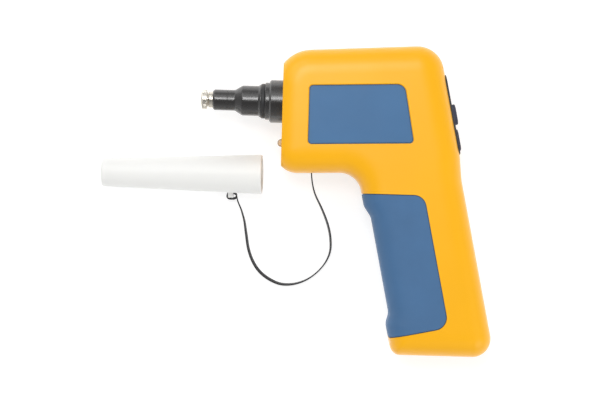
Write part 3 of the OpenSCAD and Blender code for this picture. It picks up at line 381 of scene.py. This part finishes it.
# Finger scoop in the grip's front, and step in the back
SCOOP_DROP, SCOOP_L, SCOOP_D, SCOOP_RAMP = 17, 64, 2.7, 5.6
SCOOP_TOP = -HEAD_DOWN - SCOOP_DROP
SCOOP_LOW = SCOOP_TOP - SCOOP_L
SCOOP_REACH = SCOOP_D / cos(LEAN)
STEP_TOP, STEP_LOW, STEP_D = -27.4, -40.4, 1.5


def leaning(u, v):
    """u of the line through u on the nose axis that leans with the grip, at v."""
    return u - v * tan(LEAN)


def grip_line(v):
    return GRIP_FRONT - (v + HEAD_DOWN) * tan(LEAN)


def on_top(u):
    return HEAD_UP + u * tan(TOP_RISE)


def on_under(u):
    return -HEAD_DOWN + u * tan(UNDER_RISE)


NECK_U = GRIP_FRONT / (1 + tan(UNDER_RISE) * tan(LEAN))
BACK_U = (HEAD_LEN - HEAD_UP * tan(LEAN)) / (1 + tan(TOP_RISE) * tan(LEAN))
# Corners of the housing's outline: u, v, radius and steps
CORNERS = [
    (-FRONT_CUT, on_under(-FRONT_CUT), 13, 5),
    (NECK_U, on_under(NECK_U), 12, 6),
    (grip_line(SCOOP_TOP), SCOOP_TOP, 8, 2),
    (grip_line(SCOOP_TOP - SCOOP_RAMP) + SCOOP_REACH, SCOOP_TOP - SCOOP_RAMP, 8, 2),
    (grip_line(SCOOP_LOW + SCOOP_RAMP) + SCOOP_REACH, SCOOP_LOW + SCOOP_RAMP, 8, 2),
    (grip_line(SCOOP_LOW), SCOOP_LOW, 8, 2),
    (grip_line(FOOT), FOOT, 5, 4),
    (leaning(HEAD_LEN, FOOT) - STEP_D, FOOT, 10, 6),
    (leaning(HEAD_LEN, STEP_LOW) - STEP_D, STEP_LOW, 20, 1),
    (leaning(HEAD_LEN, STEP_TOP), STEP_TOP, 20, 1),
    (BACK_U, on_top(BACK_U), 14.4, 5),
    (-FRONT_CUT, on_top(-FRONT_CUT), 20, 5),
]

# Label: its outline, and the depth and the rounded lip of its recess
LABEL_U, LABEL_L, LABEL_TOP, LABEL_BOTTOM = 14.3, 51.6, 8.5, -23.5
LABEL_LEAN, LABEL_RISE = radians(10.4), radians(2.2)
LABEL = [
    (LABEL_U, LABEL_BOTTOM, 2, 3),
    (LABEL_U + LABEL_L + (LABEL_TOP - LABEL_BOTTOM) * tan(LABEL_LEAN),
     LABEL_BOTTOM + (LABEL_L + LABEL_TOP * tan(LABEL_LEAN)) * tan(LABEL_RISE), 2, 3),
    (LABEL_U + LABEL_L, LABEL_TOP + LABEL_L * tan(LABEL_RISE), 5, 4),
    (LABEL_U, LABEL_TOP, 2, 3),
]
LABEL_D, LABEL_LIP = 1.25, 0.6
LABEL_LOW = HALF_T - LABEL_D
# Layers of the label's panel: height over the recess's floor, and inset
PANEL_STEPS = [(0.02, 0.06), (0.2, 0.06), (0.2, 0.5), (0.55, 0.5), (0.62, 0.53), (0.65, 0.6)]

# Grip pad: its outline goes past the grip's front, and the housing's form cuts it there
PAD_DROP, PAD_LIFT, PAD_W, PAD_PAST = 10, 16.1, 33.4, 12
PAD_T, PAD_R, PAD_FRONT_R, PAD_GAP, PAD_SEAM = 1.4, 7, 1.5, 0.04, 0.06
PAD_TOP, PAD_LOW = -HEAD_DOWN - PAD_DROP, FOOT + PAD_LIFT
PAD_BACK = grip_line(PAD_TOP) + PAD_W
PAD_LOW_U = PAD_BACK + (PAD_TOP - PAD_LOW) * tan(LEAN)
PAD_REACH = PAD_LOW_U - grip_line(PAD_TOP) + PAD_PAST
PAD_RISE = radians(12.2)
PAD = [
    (PAD_LOW_U - PAD_REACH, PAD_LOW - PAD_REACH * tan(PAD_RISE), PAD_FRONT_R, 1),
    (PAD_LOW_U, PAD_LOW, PAD_R, 5),
    (PAD_BACK, PAD_TOP, PAD_R, 5),
    (PAD_LOW_U - PAD_REACH, PAD_TOP, PAD_FRONT_R, 1),
]
# Groove along the pad's edge: its width and depth, and how far its tool reaches past the pad
GROOVE_W, GROOVE_D, GROOVE_OVER = 0.45, 0.8, 1.5

# Keypad, in the plane of the back: x out of it, y up along it, z across
BEZEL_UP, BEZEL_DOWN, BEZEL_W, BEZEL_R = 17.2, 27.2, 21.0, 4
BEZEL_OUT, BEZEL_T = 0.55, 2.2
BEZEL_Y, BEZEL_L = (BEZEL_UP - BEZEL_DOWN) / 2, BEZEL_UP + BEZEL_DOWN
# Layers of the bezel: depth under its face, and inset
BEZEL_STEPS = [(BEZEL_T, 0.06), (0.35, 0.06), (0.1, 0.13), (0, 0.35)]
KEYS_UP, KEYS_DOWN, KEYS_W, KEYS_D = 1.85, 26.25, 15.5, 4
KEY_W, KEY_R, KEY_GAP = 13.0, 2.4, 0.15
KEY_HOLE_LOW, KEY_HOLE_HIGH = -3, 2
CAPTURE_Y, LIGHT_Y = -5.05, -19.1
CAPTURE_L, LIGHT_L = 11.3, 11.8
CAPTURE_OUT, LIGHT_OUT = 2.2, 1.2
# A key's crown, its rounded edge, where its sides start, and the flange that keeps it in
KEY_CROWN, KEY_EDGE, KEY_FOOT = 0.2, 0.4, -2.3
FLANGE_W, FLANGE_LOW, FLANGE_HIGH = 1.1, -2.8, -1.8
# Shares of a key's outline at which the rings of its crown lie
CROWN_SHARES = np.linspace(0.9, 0.1, 9)
BACK = np.array(Matrix.Translation((HEAD_LEN, 0, 0)) @ Matrix.Rotation(LEAN, 4, "Z"))

# Openings in the front wall, in the butt and, for the screws' heads, in the right side
NOSE_HOLE_R, PORT_HOLE_R, PORT_V = 8.35, 2.0, -22.7
USB_U, USB_W, USB_T, USB_R, USB_GAP = 84.0305, 8.9, 3.2, 1.45, 0.15
SEAT_R, SEAT_H = 2.45, 15.6
SCREWS = [
    (14.3, 17.0746), (75.461, 21.3741), (14.3, -27.5006), (88.0919, -36.3459),
    (56.561, -45.85), (105.448, -125.5),
]


def half_form(name, side, skin=0.0, start=0.0, seam=0.0, finer=2.5, arcs=9):
    """Half of the housing's form, with its skin moved in by skin, from h = start outwards."""
    fillet = EDGE_R - skin
    flat_h = HALF_T - skin - fillet
    split = acos(1 - FRONT_CUT / fillet)
    rings = [(start, skin + seam), (start + seam, skin)] if seam else [(start, skin)]
    for low, high, first in ((0, split, 0), (split, pi / 2, 1)):
        for k in range(first, arcs + 1):
            t = low + (high - low) * k / arcs
            ease = RUN_OUT * (max(0.0, t - split) / (pi / 2 - split)) ** 3
            rings.append((flat_h + fillet * sin(t), skin + fillet * (1 - cos(t)) + ease))
    layers = []
    for h, inset in rings:
        edge = skin + (seam if h == start else 0)
        layers.append(to_frame(at_height(rounded(CORNERS, inset, edge, finer), side * h)))
    return link(name, *loft(layers))


def stacked(name, corners, steps, side):
    """A form of layers of one outline, each given as height and inset."""
    layers = [at_height(rounded(corners, inset, finer=2), side * h) for h, inset in steps]
    return link(name, *loft([to_frame(layer) for layer in layers]))


def pad_prism(name, inset, over, side):
    """The grip pad's outline, moved in by inset, right through its half."""
    return stacked(name, PAD, [(-over, inset), (HALF_T + over, inset)], side)


def on_back(points):
    """Points of the keypad's directions as u, v, h."""
    p = np.asarray(points, float)
    return p @ BACK[:3, :3].T + BACK[:3, 3]


def back_plate(name, y, l, w, r, steps):
    """A plate on the back, of layers given as x and inset."""
    rings = []
    for x, inset in steps:
        outline = rounded(box_corners(w, l, r), inset, finer=2)
        rings.append(to_frame(on_back([(x, y + p[1], p[0]) for p in outline])))
    return link(name, *loft(rings))


def pad_tool(side):
    """The pad's seat: its outline outside a core that stays."""
    core = half_form("pad_core", side, PAD_T, -2 * OVER)
    return carve(pad_prism("pad_tool", 0, OVER, side), [core])


def label_tool(side):
    """The label's recess with its rounded lip."""
    steps = [(LABEL_LOW, 0.0), (HALF_T - LABEL_LIP, 0.0)]
    for t in np.linspace(EDGE_START, pi / 2, 6):
        steps.append((HALF_T - LABEL_LIP * (1 - sin(t)), -LABEL_LIP * (1 - cos(t))))
    steps.append((HALF_T + OVER, -LABEL_LIP))
    return stacked("label_tool", LABEL, steps, side)


def front_hole(name, r, v=0.0):
    """A tool for a round hole through the front wall."""
    ring = [(v + r * cos(t), r * sin(t)) for t in turns(HOLE_ROUND)]
    return link(name, *loft([to_frame([(u, *p) for p in ring]) for u in (-OVER, WALL + OVER)]))


def bezel_tool():
    steps = [(BEZEL_OUT - BEZEL_T, 0), (EDGE_R, 0)]
    return back_plate("bezel_tool", BEZEL_Y, BEZEL_L, BEZEL_W, BEZEL_R, steps)


def keys_tool():
    """The opening behind the bezel for both keys."""
    mid, length = (KEYS_UP - KEYS_DOWN) / 2, KEYS_UP + KEYS_DOWN
    return back_plate("keys_tool", mid, length, KEYS_W, KEY_R, [(-KEYS_D, 0), (0, 0)])


def usb_tool():
    """The charging socket's opening in the butt."""
    corners = box_corners(USB_W + 2 * USB_GAP, USB_T + 2 * USB_GAP, USB_R + USB_GAP, 6)
    outline = rounded(corners)
    rings = []
    for y in (-OVER, WALL + OVER):
        rings.append(to_frame([(USB_U + p[0], FOOT + y, p[1]) for p in outline]))
    return link("usb_tool", *loft(rings))


def screw_tool(u, v):
    """The seat of one screw's head."""
    ring = [(u + SEAT_R * cos(t), v + SEAT_R * sin(t)) for t in turns(SEAT_ROUND)]
    rings = [to_frame([(*p, h) for p in ring]) for h in (-HALF_T - OVER, -SEAT_H)]
    return link("screw_tool", *loft(rings))


def add_housing(side, word):
    """One half of the housing: a hollow shell with its seats and openings."""
    half = half_form(f"{word}_half", side, seam=HALF_SEAM)
    tools = [half_form("inside", side, WALL, -OVER, finer=1, arcs=4)]
    tools += [pad_tool(side), label_tool(side)]
    tools += [front_hole("nose_tool", NOSE_HOLE_R), front_hole("port_tool", PORT_HOLE_R, PORT_V)]
    tools += [bezel_tool(), keys_tool(), usb_tool()]
    if side < 0:
        tools += [screw_tool(u, v) for u, v in SCREWS]
    carve(half, tools)
    finish_piece(half, "camera", "yellow_plastic", f"{word}_housing")


def pad_groove(side):
    """The tool for the groove along the pad's edge."""
    groove = pad_prism("groove", -GROOVE_OVER, 2 * OVER, side)
    carve(groove, [pad_prism("groove_in", GROOVE_W, 4 * OVER, side)])
    return carve(groove, [half_form("groove_under", side, GROOVE_D, -6 * OVER)])


def add_pad(side, word):
    """A grip pad: the part of the housing's form inside the pad's outline, as thick as the pad."""
    pad = half_form(f"{word}_pad", side, seam=PAD_SEAM)
    carve(pad, [pad_prism("stretch", PAD_GAP, OVER, side)], "INTERSECT")
    carve(pad, [half_form("pad_core", side, PAD_T, -2 * OVER)])
    carve(pad, [pad_groove(side)])
    finish_piece(pad, "camera", "blue_rubber", f"{word}_grip_pad")


def add_label(side, word):
    steps = [(LABEL_LOW + h, inset) for h, inset in PANEL_STEPS]
    panel = stacked(f"{word}_label", LABEL, steps, side)
    finish_piece(panel, "camera", "blue_label", f"{word}_label_panel")


# Keypad
def key_tool(y, l):
    """A key's opening, cut right through the bezel."""
    steps = [(KEY_HOLE_LOW, 0), (KEY_HOLE_HIGH, 0)]
    return back_plate("key_tool", y, l + 2 * KEY_GAP, KEY_W + 2 * KEY_GAP, KEY_R + KEY_GAP, steps)


def add_bezel():
    steps = [(BEZEL_OUT - depth, inset) for depth, inset in BEZEL_STEPS]
    bezel = back_plate("bezel", BEZEL_Y, BEZEL_L, BEZEL_W, BEZEL_R, steps)
    carve(bezel, [key_tool(CAPTURE_Y, CAPTURE_L), key_tool(LIGHT_Y, LIGHT_L)])
    finish_piece(bezel, "camera", "black_plastic", "keypad_bezel")


def key_outline(l, inset):
    return rounded(box_corners(KEY_W, l, KEY_R), inset, finer=3)


def add_key(name, y, l, proud, node):
    """One key: straight sides, a rounded edge and a crowned top, with its flange."""
    r = (l * l / 4 + KEY_CROWN * KEY_CROWN) / (2 * KEY_CROWN)

    def crowned(outline, x):
        return [(x + (sqrt(r * r - p[1] ** 2) - (r - KEY_CROWN)), y + p[1], p[0]) for p in outline]

    low = BEZEL_OUT + proud - KEY_CROWN - KEY_EDGE
    sides = key_outline(l, 0)
    rings = [[(KEY_FOOT, y + p[1], p[0]) for p in sides], crowned(sides, low)]
    for t in np.linspace(EDGE_START, pi / 2, 5):
        rings.append(crowned(key_outline(l, KEY_EDGE * (1 - cos(t))), low + KEY_EDGE * sin(t)))
    for share in CROWN_SHARES:
        rings.append(crowned(key_outline(l, KEY_EDGE) * share, low + KEY_EDGE))
    key = link(name, *loft([to_frame(on_back(ring)) for ring in rings]))
    steps = [(FLANGE_LOW, 0), (FLANGE_HIGH, 0)]
    flange = back_plate("flange", y, l + 2 * FLANGE_W, KEY_W + 2 * FLANGE_W, KEY_R, steps)
    carve(key, [flange], "UNION")
    finish_piece(key, name, "key_plastic", node)


# Nose: radii and places along u that its turned pieces share. Their outlines are radius, u and
# corner radius.
SPIGOT_R, THIN_R, HUB_R, SEAT_BORE_R = 8.25, 5.7, 4.6, 4.0
RING_U, COLLAR_U, CONE_U, SLEEVE_U, HUB_U, TIP_U = -11.9, -9.8, -22.3, -30.5, -38.4, -45


def add_barrel():
    outline = [
        (SEAT_BORE_R, HUB_U, 0.1), (HUB_R, HUB_U, 0.1), (HUB_R, SLEEVE_U, 0.05),
        (THIN_R, SLEEVE_U, 0.15), (THIN_R, -26.4, 1.5), (SPIGOT_R, CONE_U, 2.0),
        (SPIGOT_R, -13.5, 0.5), (9.15, -12.3, 0.3), (9.15, RING_U, 0.1), (SPIGOT_R, RING_U, 0.05),
        (SPIGOT_R, WALL, 0.05), (12, WALL, 0.1), (12, 4.6, 0.1), (6.5, 4.6, 0.1),
        (6.5, CONE_U, 0.1), (SEAT_BORE_R, CONE_U, 0.1),
    ]
    barrel = turned_piece("nose_barrel_turned", outline)
    finish_piece(barrel, "camera", "black_anodised", "nose_barrel")


def add_collar():
    outline = [
        (SPIGOT_R, COLLAR_U, 0.05), (10.0, COLLAR_U, 0.2), (10.25, -9.4, 0.2), (10.25, -7.4, 0.15),
        (10.9, -7.4, 0.3), (11.75, -6.5, 0.5), (11.75, 0, 0.1), (SPIGOT_R, 0, 0.05),
    ]
    collar = turned_piece("nose_collar_turned", outline)
    finish_piece(collar, "camera", "black_anodised", "nose_collar")


def add_seal():
    outline = [
        (SPIGOT_R, RING_U, 0.05), (9.3, RING_U, 0.3), (9.55, -11.5, 0.25), (9.55, -10.2, 0.25),
        (9.3, COLLAR_U, 0.2), (SPIGOT_R, COLLAR_U, 0.05),
    ]
    seal = turned_piece("cap_seal_turned", outline)
    finish_piece(seal, "camera", "black_rubber", "cap_seal_ring")


def add_sleeve():
    outline = [
        (HUB_R, HUB_U, 0.05), (5.0, HUB_U, 0.3), (THIN_R, -37.6, 0.6), (THIN_R, SLEEVE_U, 0.15),
        (HUB_R, SLEEVE_U, 0.05),
    ]
    sleeve = turned_piece("front_sleeve_turned", outline)
    finish_piece(sleeve, "camera", "black_anodised", "front_sleeve")


def add_tip():
    outline = [
        (1.76, TIP_U, 0.05), (3.6, TIP_U, 0.2), (4.0, -44.6, 0.2), (4.0, -44.5, 0.02),
        (3.4, -44.5, 0.02), (3.4, -41.5, 0.02), (3.8, -41.5, 0.05), (3.8, -40.8, 0.1),
        (4.2, -40.8, 0.15), (HUB_R, -40.4, 0.2), (HUB_R, HUB_U, 0.1), (SEAT_BORE_R, HUB_U, 0.05),
        (SEAT_BORE_R, -34.4, 0.1), (2.2, -34.4, 0.05), (2.2, -38, 0.05), (1.76, -38, 0.02),
    ]
    tip = turned_piece("tip_turned", outline)
    finish_piece(tip, "camera", "nickel", "tip_body")


# Ring nut: the knurl's grooves run along it. A groove's half width is a share of half the pitch.
NUT_R, KNURLS, KNURL_D, KNURL_W = 5.4, 48, 0.1, 0.3
STEPS_PER_KNURL = 14
NUT_OUTLINE = [
    (3.45, -44.45), (3.45, -41.55), (5.0, -41.55), (5.25, -41.63), (NUT_R, -41.85), (NUT_R, -42.4),
    (NUT_R, -43.0), (NUT_R, -43.6), (NUT_R, -44.15), (5.25, -44.37), (5.0, -44.45),
]


def add_nut():
    rings = []
    for t in turns(KNURLS * STEPS_PER_KNURL):
        off = abs(((t * KNURLS / (2 * pi)) % 1) - 0.5) * 2
        floor = NUT_R - KNURL_D * max(0.0, 1 - (off / KNURL_W) ** 2)
        points = [(u, min(r, floor)) for r, u in NUT_OUTLINE]
        rings.append(to_frame([(u, r * cos(t), r * sin(t)) for u, r in points]))
    nut = link("ring_nut_knurled", *loft(rings, loop=True))
    finish_piece(nut, "ring_nut", "nickel", "tip_nut")


# Port light: a dome on the front face, a stem in its hole and a flange behind the wall. The dome's
# arc leaves off an angle at each end, and a bevel leads from it to the rim.
DOME_R, DOME_OUT, DOME_FOOT, DOME_EDGE = 2.35, 2.1, -0.4, 0.2
DOME_ENDS, DOME_RIM = 0.12, -0.3
STEM_R, PORT_FLANGE_R, PORT_END = 1.95, 3.2, 3.8


def at_port(points):
    return to_frame(np.asarray(points, float) + (0, PORT_V, 0))


def add_port_lens():
    line = [(0.0, DOME_FOOT - DOME_OUT)]
    for t in np.linspace(pi / 2 - DOME_ENDS, DOME_ENDS, 12):
        line.append(((DOME_R - DOME_EDGE) * cos(t), DOME_FOOT - DOME_OUT * sin(t)))
    line += [(DOME_R, DOME_RIM), (DOME_R, 0), (STEM_R, 0), (STEM_R, WALL)]
    line += [(PORT_FLANGE_R, WALL), (PORT_FLANGE_R, PORT_END), (0.0, PORT_END)]
    lens = spun_piece("port_dome", line, at_port, LENS_ROUND)
    finish_piece(lens, "camera", "clear_lens", "port_light_lens")


# Cap, in its own directions: x from the mouth to the closed end, y out to the lug
CAP_BIG, CAP_SMALL, CAP_L, CAP_WALL = 21.9, 15.7, 88.9, 1.2
MOUTH_R, MOUTH_D, MOUTH_BEVEL, CAP_BORE_R = 9.6, 2.4, 0.4, 9.2
CAP_TILT = atan((CAP_BIG - CAP_SMALL) / 2 / CAP_L)
CAP_U, CAP_V, CAP_H = -10.5, -40.2, -HALF_T + CAP_BIG / 2 * cos(CAP_TILT)
CAP_YAW, CAP_ROLL = radians(180.8), radians(-27)
# Lug: its place, width, bar and legs, and the slot that the strap's loop goes through
LUG_FROM, LUG_W, LUG_BAR, LUG_LEG, LUG_IN, LUG_R = 17.6, 3.0, 1.0, 0.8, 0.6, 0.8
SLOT_T, SLOT_D, SLOT_IN, SLOT_R = 2.7, 2.6, 0.25, 0.4
LUG_BEVEL = 0.18
CAP_LUG_R = CAP_BIG / 2 - LUG_FROM * tan(CAP_TILT)
CAP_PLACE = np.array(
    Matrix.Translation((CAP_U, CAP_V, CAP_H)) @ Matrix.Rotation(CAP_YAW, 4, "Z")
    @ Matrix.Rotation(CAP_TILT, 4, "Y") @ Matrix.Rotation(CAP_ROLL, 4, "X")
)


def from_cap(points):
    """Points of the cap's directions as u, v, h."""
    p = np.asarray(points, float)
    return p @ CAP_PLACE[:3, :3].T + CAP_PLACE[:3, 3]


def cap_to_frame(points):
    return to_frame(from_cap(points))


def cap_line():
    """The cap's section as radius and x, from inside its closed end round the mouth to outside."""
    big, small = CAP_BIG / 2, CAP_SMALL / 2
    corners = [
        (0.0, CAP_L - CAP_WALL, 0), (small - CAP_WALL, CAP_L - CAP_WALL, 1.0), (CAP_BORE_R, MOUTH_D, 0.3),
        (MOUTH_R, MOUTH_D, 0.05), (MOUTH_R, 0, 0.05), (big - MOUTH_BEVEL, 0, 0.3),
        (big, MOUTH_BEVEL, 0.5), (small, CAP_L, 1.3), (0.0, CAP_L, 0),
    ]
    arcs = [(r, x, c, 5) for r, x, c in corners]
    line = [corners[0][:2]]
    for i in range(1, len(arcs) - 1):
        line += [tuple(p) for p in corner_arc(arcs, i)]
    return line + [corners[-1][:2]]


def lug_outline(low, high, half, low_r, high_r):
    """The outline of the lug or of its slot, by inset: y from low to high, and half its width."""
    corners = [(low, -half, low_r, 6), (high, -half, high_r, 6)]
    corners += [(high, half, high_r, 6), (low, half, low_r, 6)]
    return lambda inset: rounded(corners, inset)


def add_cap():
    cup = spun_piece("cap_cup", cap_line(), cap_to_frame, CAP_ROUND)
    outer = lug_outline(CAP_LUG_R - LUG_IN, CAP_LUG_R + SLOT_D + LUG_BAR, SLOT_T / 2 + LUG_LEG,
                        0.05, LUG_R)
    slot = lug_outline(CAP_LUG_R - SLOT_IN, CAP_LUG_R + SLOT_D, SLOT_T / 2, SLOT_R, SLOT_R)

    def place(outline, x):
        return cap_to_frame([(x, p[0], p[1]) for p in outline])

    low, high = LUG_FROM - LUG_W / 2, LUG_FROM + LUG_W / 2
    lug = link("lug", *band_form(outer, slot, low, high, LUG_BEVEL, place))
    carve(cup, [lug], "UNION")
    finish_piece(cup, "cap_body", "white_plastic", "cap")


# Strap: a flat form swept along a smooth line through the route's points. It leaves the underside
# of the head at TETHER_U.
TETHER_U = 16.8
STRAP_W, STRAP_T, STRAP_R = 2.2, 0.7, 0.18
# Step in millimetres at which the strap's line is sampled
STRAP_STEP = 0.8
LOOP_L, LOOP_W, LOOP_SHIFT, LOOP_BEVEL = 6.0, 4.2, 0.5, 0.12
LOOP_Y = CAP_LUG_R + SLOT_D / 2 + (LOOP_W - STRAP_T) / 2
# What the loop's round ends fall short of half its width, so that no edge has no length
LOOP_SHORT = 0.001
# Route: u, v, height over the table, and how far the strap is turned up on its edge, in degrees
ROUTE = [
    [16.8, -39, 17.9, 90], [17.3, -43.5, 17.2, 88], [18.3, -48, 15.7, 84],
    [20, -52.3, 13.6, 80], [22.1, -56.3, 11.2, 76], [24, -60.3, 8.8, 73],
    [25.7, -64.3, 6.6, 71], [27.1, -68.4, 4.6, 70], [28.1, -72.6, 3, 70],
    [28.6, -77, 1.9, 72], [28.5, -81.4, 1.4, 76], [27.3, -85.6, 1.2, 82],
    [25.1, -89.6, 1.2, 88], [22.1, -93.2, 1.2, 90], [18.7, -96.2, 1.2, 88],
    [14.8, -98.6, 1.2, 82], [10.4, -100.3, 1.2, 75], [5.8, -101.1, 1.2, 68],
    [1.2, -100.9, 1.2, 62], [-3.2, -99.4, 1.2, 57], [-7.1, -97.2, 1.2, 55],
    [-10.4, -94.5, 1.2, 55], [-13, -91.3, 1.2, 56], [-15, -87.8, 1.2, 58],
    [-16.6, -83.8, 1.2, 60], [-17.7, -79.6, 1.2, 62], [-18.4, -75.3, 1.2, 64],
    [-19.1, -71, 1.2, 68], [-19.8, -66.8, 1.4, 74], [-20.9, -62.7, 2, 80],
    [-22.3, -58.8, 2.9, 86], [-23.8, -55.4, 3.7, 90],
]


def smooth_line(points, step):
    """A natural cubic spline through the points, sampled about every step."""
    p = np.array(points, float)
    lengths = np.linalg.norm(np.diff(p[:, :3], axis=0), axis=1)
    t = np.concatenate([[0], np.cumsum(lengths)])
    n, h = len(p), np.diff(t)
    a = np.eye(n)
    rhs = np.zeros_like(p)
    for i in range(1, n - 1):
        a[i, i - 1:i + 2] = h[i - 1], 2 * (h[i - 1] + h[i]), h[i]
        rhs[i] = 6 * ((p[i + 1] - p[i]) / h[i] - (p[i] - p[i - 1]) / h[i - 1])
    bend = np.linalg.solve(a, rhs)
    out = []
    for s in np.linspace(0, t[-1], int(t[-1] / step) + 1):
        i = min(max(int(np.searchsorted(t, s, side="right")) - 1, 0), n - 2)
        x, y = (t[i + 1] - s) / h[i], (s - t[i]) / h[i]
        curve = ((x**3 - x) * bend[i] + (y**3 - y) * bend[i + 1]) * h[i] ** 2 / 6
        out.append(x * p[i] + y * p[i + 1] + curve)
    return np.array(out)


def strap_line():
    """Places along the strap's middle, from the anchor to the loop, and its turn in degrees at each."""
    start_u = TETHER_U - WALL * sin(UNDER_RISE)
    start_v = on_under(TETHER_U) + WALL * cos(UNDER_RISE)
    end = from_cap([LUG_FROM - LOOP_SHIFT - LOOP_L / 2 + STRAP_T / 2, LOOP_Y, 0])
    knots = [[u, v, height - HALF_T, turn] for u, v, height, turn in ROUTE]
    line = smooth_line([[start_u, start_v, 0, 90]] + knots + [[*end, 90]], STRAP_STEP)
    return line[:, :3], line[:, 3]


def strap_rings(places, strap_turns):
    along = np.gradient(places, axis=0)
    along[0] = (sin(UNDER_RISE), -cos(UNDER_RISE), 0)
    section = rounded(box_corners(STRAP_W, STRAP_T, STRAP_R, 3))
    rings = []
    for at, way, turn in zip(places, along, strap_turns):
        way = unit(way)
        side = unit(np.cross((0, 0, 1), way))
        up = np.cross(way, side)
        wide = side * cos(radians(turn)) + up * sin(radians(turn))
        thick = np.cross(way, wide)
        rings.append(to_frame([at + wide * s[0] + thick * s[1] for s in section]))
    return rings


def loop_outline(l, w):
    """The outline of the loop's outside or inside, by inset."""
    corners = box_corners(l, w, w / 2 - LOOP_SHORT, 10)
    return lambda inset: rounded(corners, inset)


def add_loop():
    """The loop at the strap's end, bent round the bar of the cap's lug."""
    def place(points, h):
        return cap_to_frame([(LUG_FROM - LOOP_SHIFT + p[0], LOOP_Y + p[1], h) for p in points])

    outer = loop_outline(LOOP_L, LOOP_W)
    inner = loop_outline(LOOP_L - 2 * STRAP_T, LOOP_W - 2 * STRAP_T)
    form = band_form(outer, inner, -STRAP_W / 2, STRAP_W / 2, LOOP_BEVEL, place)
    loop = link("strap_loop", *form)
    return finish_piece(loop, "camera", "black_rubber", "tether_loop", STRAP, weighted=False)


def add_strap():
    """Adds the strap with its loop, and gives the route's length in metres."""
    places, strap_turns = strap_line()
    strap = link("strap", *loft(strap_rings(places, strap_turns)))
    finish_piece(strap, "camera", "black_rubber", "tether_strap", STRAP, weighted=False)
    path = to_frame(places)
    loop = add_loop()
    return float(np.linalg.norm(np.diff(path, axis=0), axis=1).sum())


# Floor, world and lamps
FLOOR_HALF, FLOOR_Z = 6.0, -0.0003
# The floor's own tone where it lights the object and where the camera sees it, and its glow
FLOOR_LIT, FLOOR_SEEN, FLOOR_GLOW = 0.88, 0.42, 0.74
WORLD_ABOVE, WORLD_AROUND = 0.29, 1.1
# Lamps: name, place in metres, size and power. All point at the middle of the table.
LAMPS = [
    ("key", (-0.55, 0.95, 1.1), 1.1, 6.7),
    ("over", (-0.08, 0.36, 1.25), 0.34, 4.4),
    ("fill", (0.9, -0.7, 0.9), 1.1, 6.1),
]


def floor_material():
    """White, with a glow where the camera, a reflection or clear stuff sees it."""
    mat = bpy.data.materials.new("floor_white")
    m = Nodes(mat)
    m.nodes.clear()
    path = m.node("ShaderNodeLightPath")
    tone = m.node("ShaderNodeMapRange", To_Min=FLOOR_LIT, To_Max=FLOOR_SEEN)
    white = m.node("ShaderNodeBsdfDiffuse")
    m.link(path, "Is Camera Ray", tone, "Value")
    m.link(tone, "Result", white, "Color")
    seen = m.node("ShaderNodeMath", operation="MAXIMUM")
    m.link(path, "Is Camera Ray", seen, 0)
    m.link(path, "Is Glossy Ray", seen, 1)
    either = m.node("ShaderNodeMath", operation="MAXIMUM")
    m.link(seen, 0, either, 0)
    m.link(path, "Is Transmission Ray", either, 1)
    power = m.node("ShaderNodeMath", operation="MULTIPLY")
    power.inputs[1].default_value = FLOOR_GLOW
    m.link(either, 0, power, 0)
    glow = m.node("ShaderNodeEmission")
    m.link(power, 0, glow, "Strength")
    both = m.node("ShaderNodeAddShader")
    m.link(white, 0, both, 0)
    m.link(glow, 0, both, 1)
    m.link(both, 0, m.node("ShaderNodeOutputMaterial"), "Surface")
    return mat


def add_floor():
    mesh = bpy.data.meshes.new("floor")
    corners = [(-1, -1), (1, -1), (1, 1), (-1, 1)]
    verts = [(x * FLOOR_HALF, y * FLOOR_HALF, FLOOR_Z) for x, y in corners]
    mesh.from_pydata(verts, [], [(0, 1, 2, 3)])
    floor = bpy.data.objects.new("floor", mesh)
    bpy.context.scene.collection.objects.link(floor)
    mesh.materials.append(floor_material())


def add_world():
    """White where it is seen, and dimmer overhead than round the sides where it lights the object."""
    world = bpy.data.worlds.new("studio")
    bpy.context.scene.world = world
    m = Nodes(world)
    m.nodes.clear()
    sky = m.node("ShaderNodeTexCoord")
    split = m.node("ShaderNodeSeparateXYZ")
    m.link(sky, "Generated", split, 0)
    fade = m.node("ShaderNodeMapRange", To_Min=WORLD_AROUND, To_Max=WORLD_ABOVE)
    m.link(split, "Z", fade, "Value")
    path = m.node("ShaderNodeLightPath")
    mix = m.node("ShaderNodeMapRange", To_Max=1.0)
    m.link(fade, "Result", mix, "To Min")
    m.link(path, "Is Camera Ray", mix, "Value")
    back = m.node("ShaderNodeBackground")
    m.link(mix, "Result", back, "Strength")
    m.link(back, 0, m.node("ShaderNodeOutputWorld"), "Surface")


def add_lamp(name, place, size, power):
    data = bpy.data.lights.new(name, "AREA")
    data.shape = "SQUARE"
    data.size = size
    data.energy = power
    lamp = bpy.data.objects.new(name, data)
    bpy.context.scene.collection.objects.link(lamp)
    lamp.location = place
    lamp.rotation_euler = (-Vector(place)).to_track_quat("-Z", "Y").to_euler()


add_camera()
colour_nodes()
strap_length = add_strap()
for side, word in ((1, "left"), (-1, "right")):
    add_housing(side, word)
    add_pad(side, word)
    add_label(side, word)
add_bezel()
add_key("capture_key", CAPTURE_Y, CAPTURE_L, CAPTURE_OUT, "capture_button")
add_key("light_key", LIGHT_Y, LIGHT_L, LIGHT_OUT, "light_button")
add_barrel()
add_collar()
add_seal()
add_sleeve()
add_tip()
add_nut()
add_port_lens()
add_cap()
add_floor()
add_world()
for lamp in LAMPS:
    add_lamp(*lamp)
bpy.context.scene.view_settings.view_transform = "Standard"
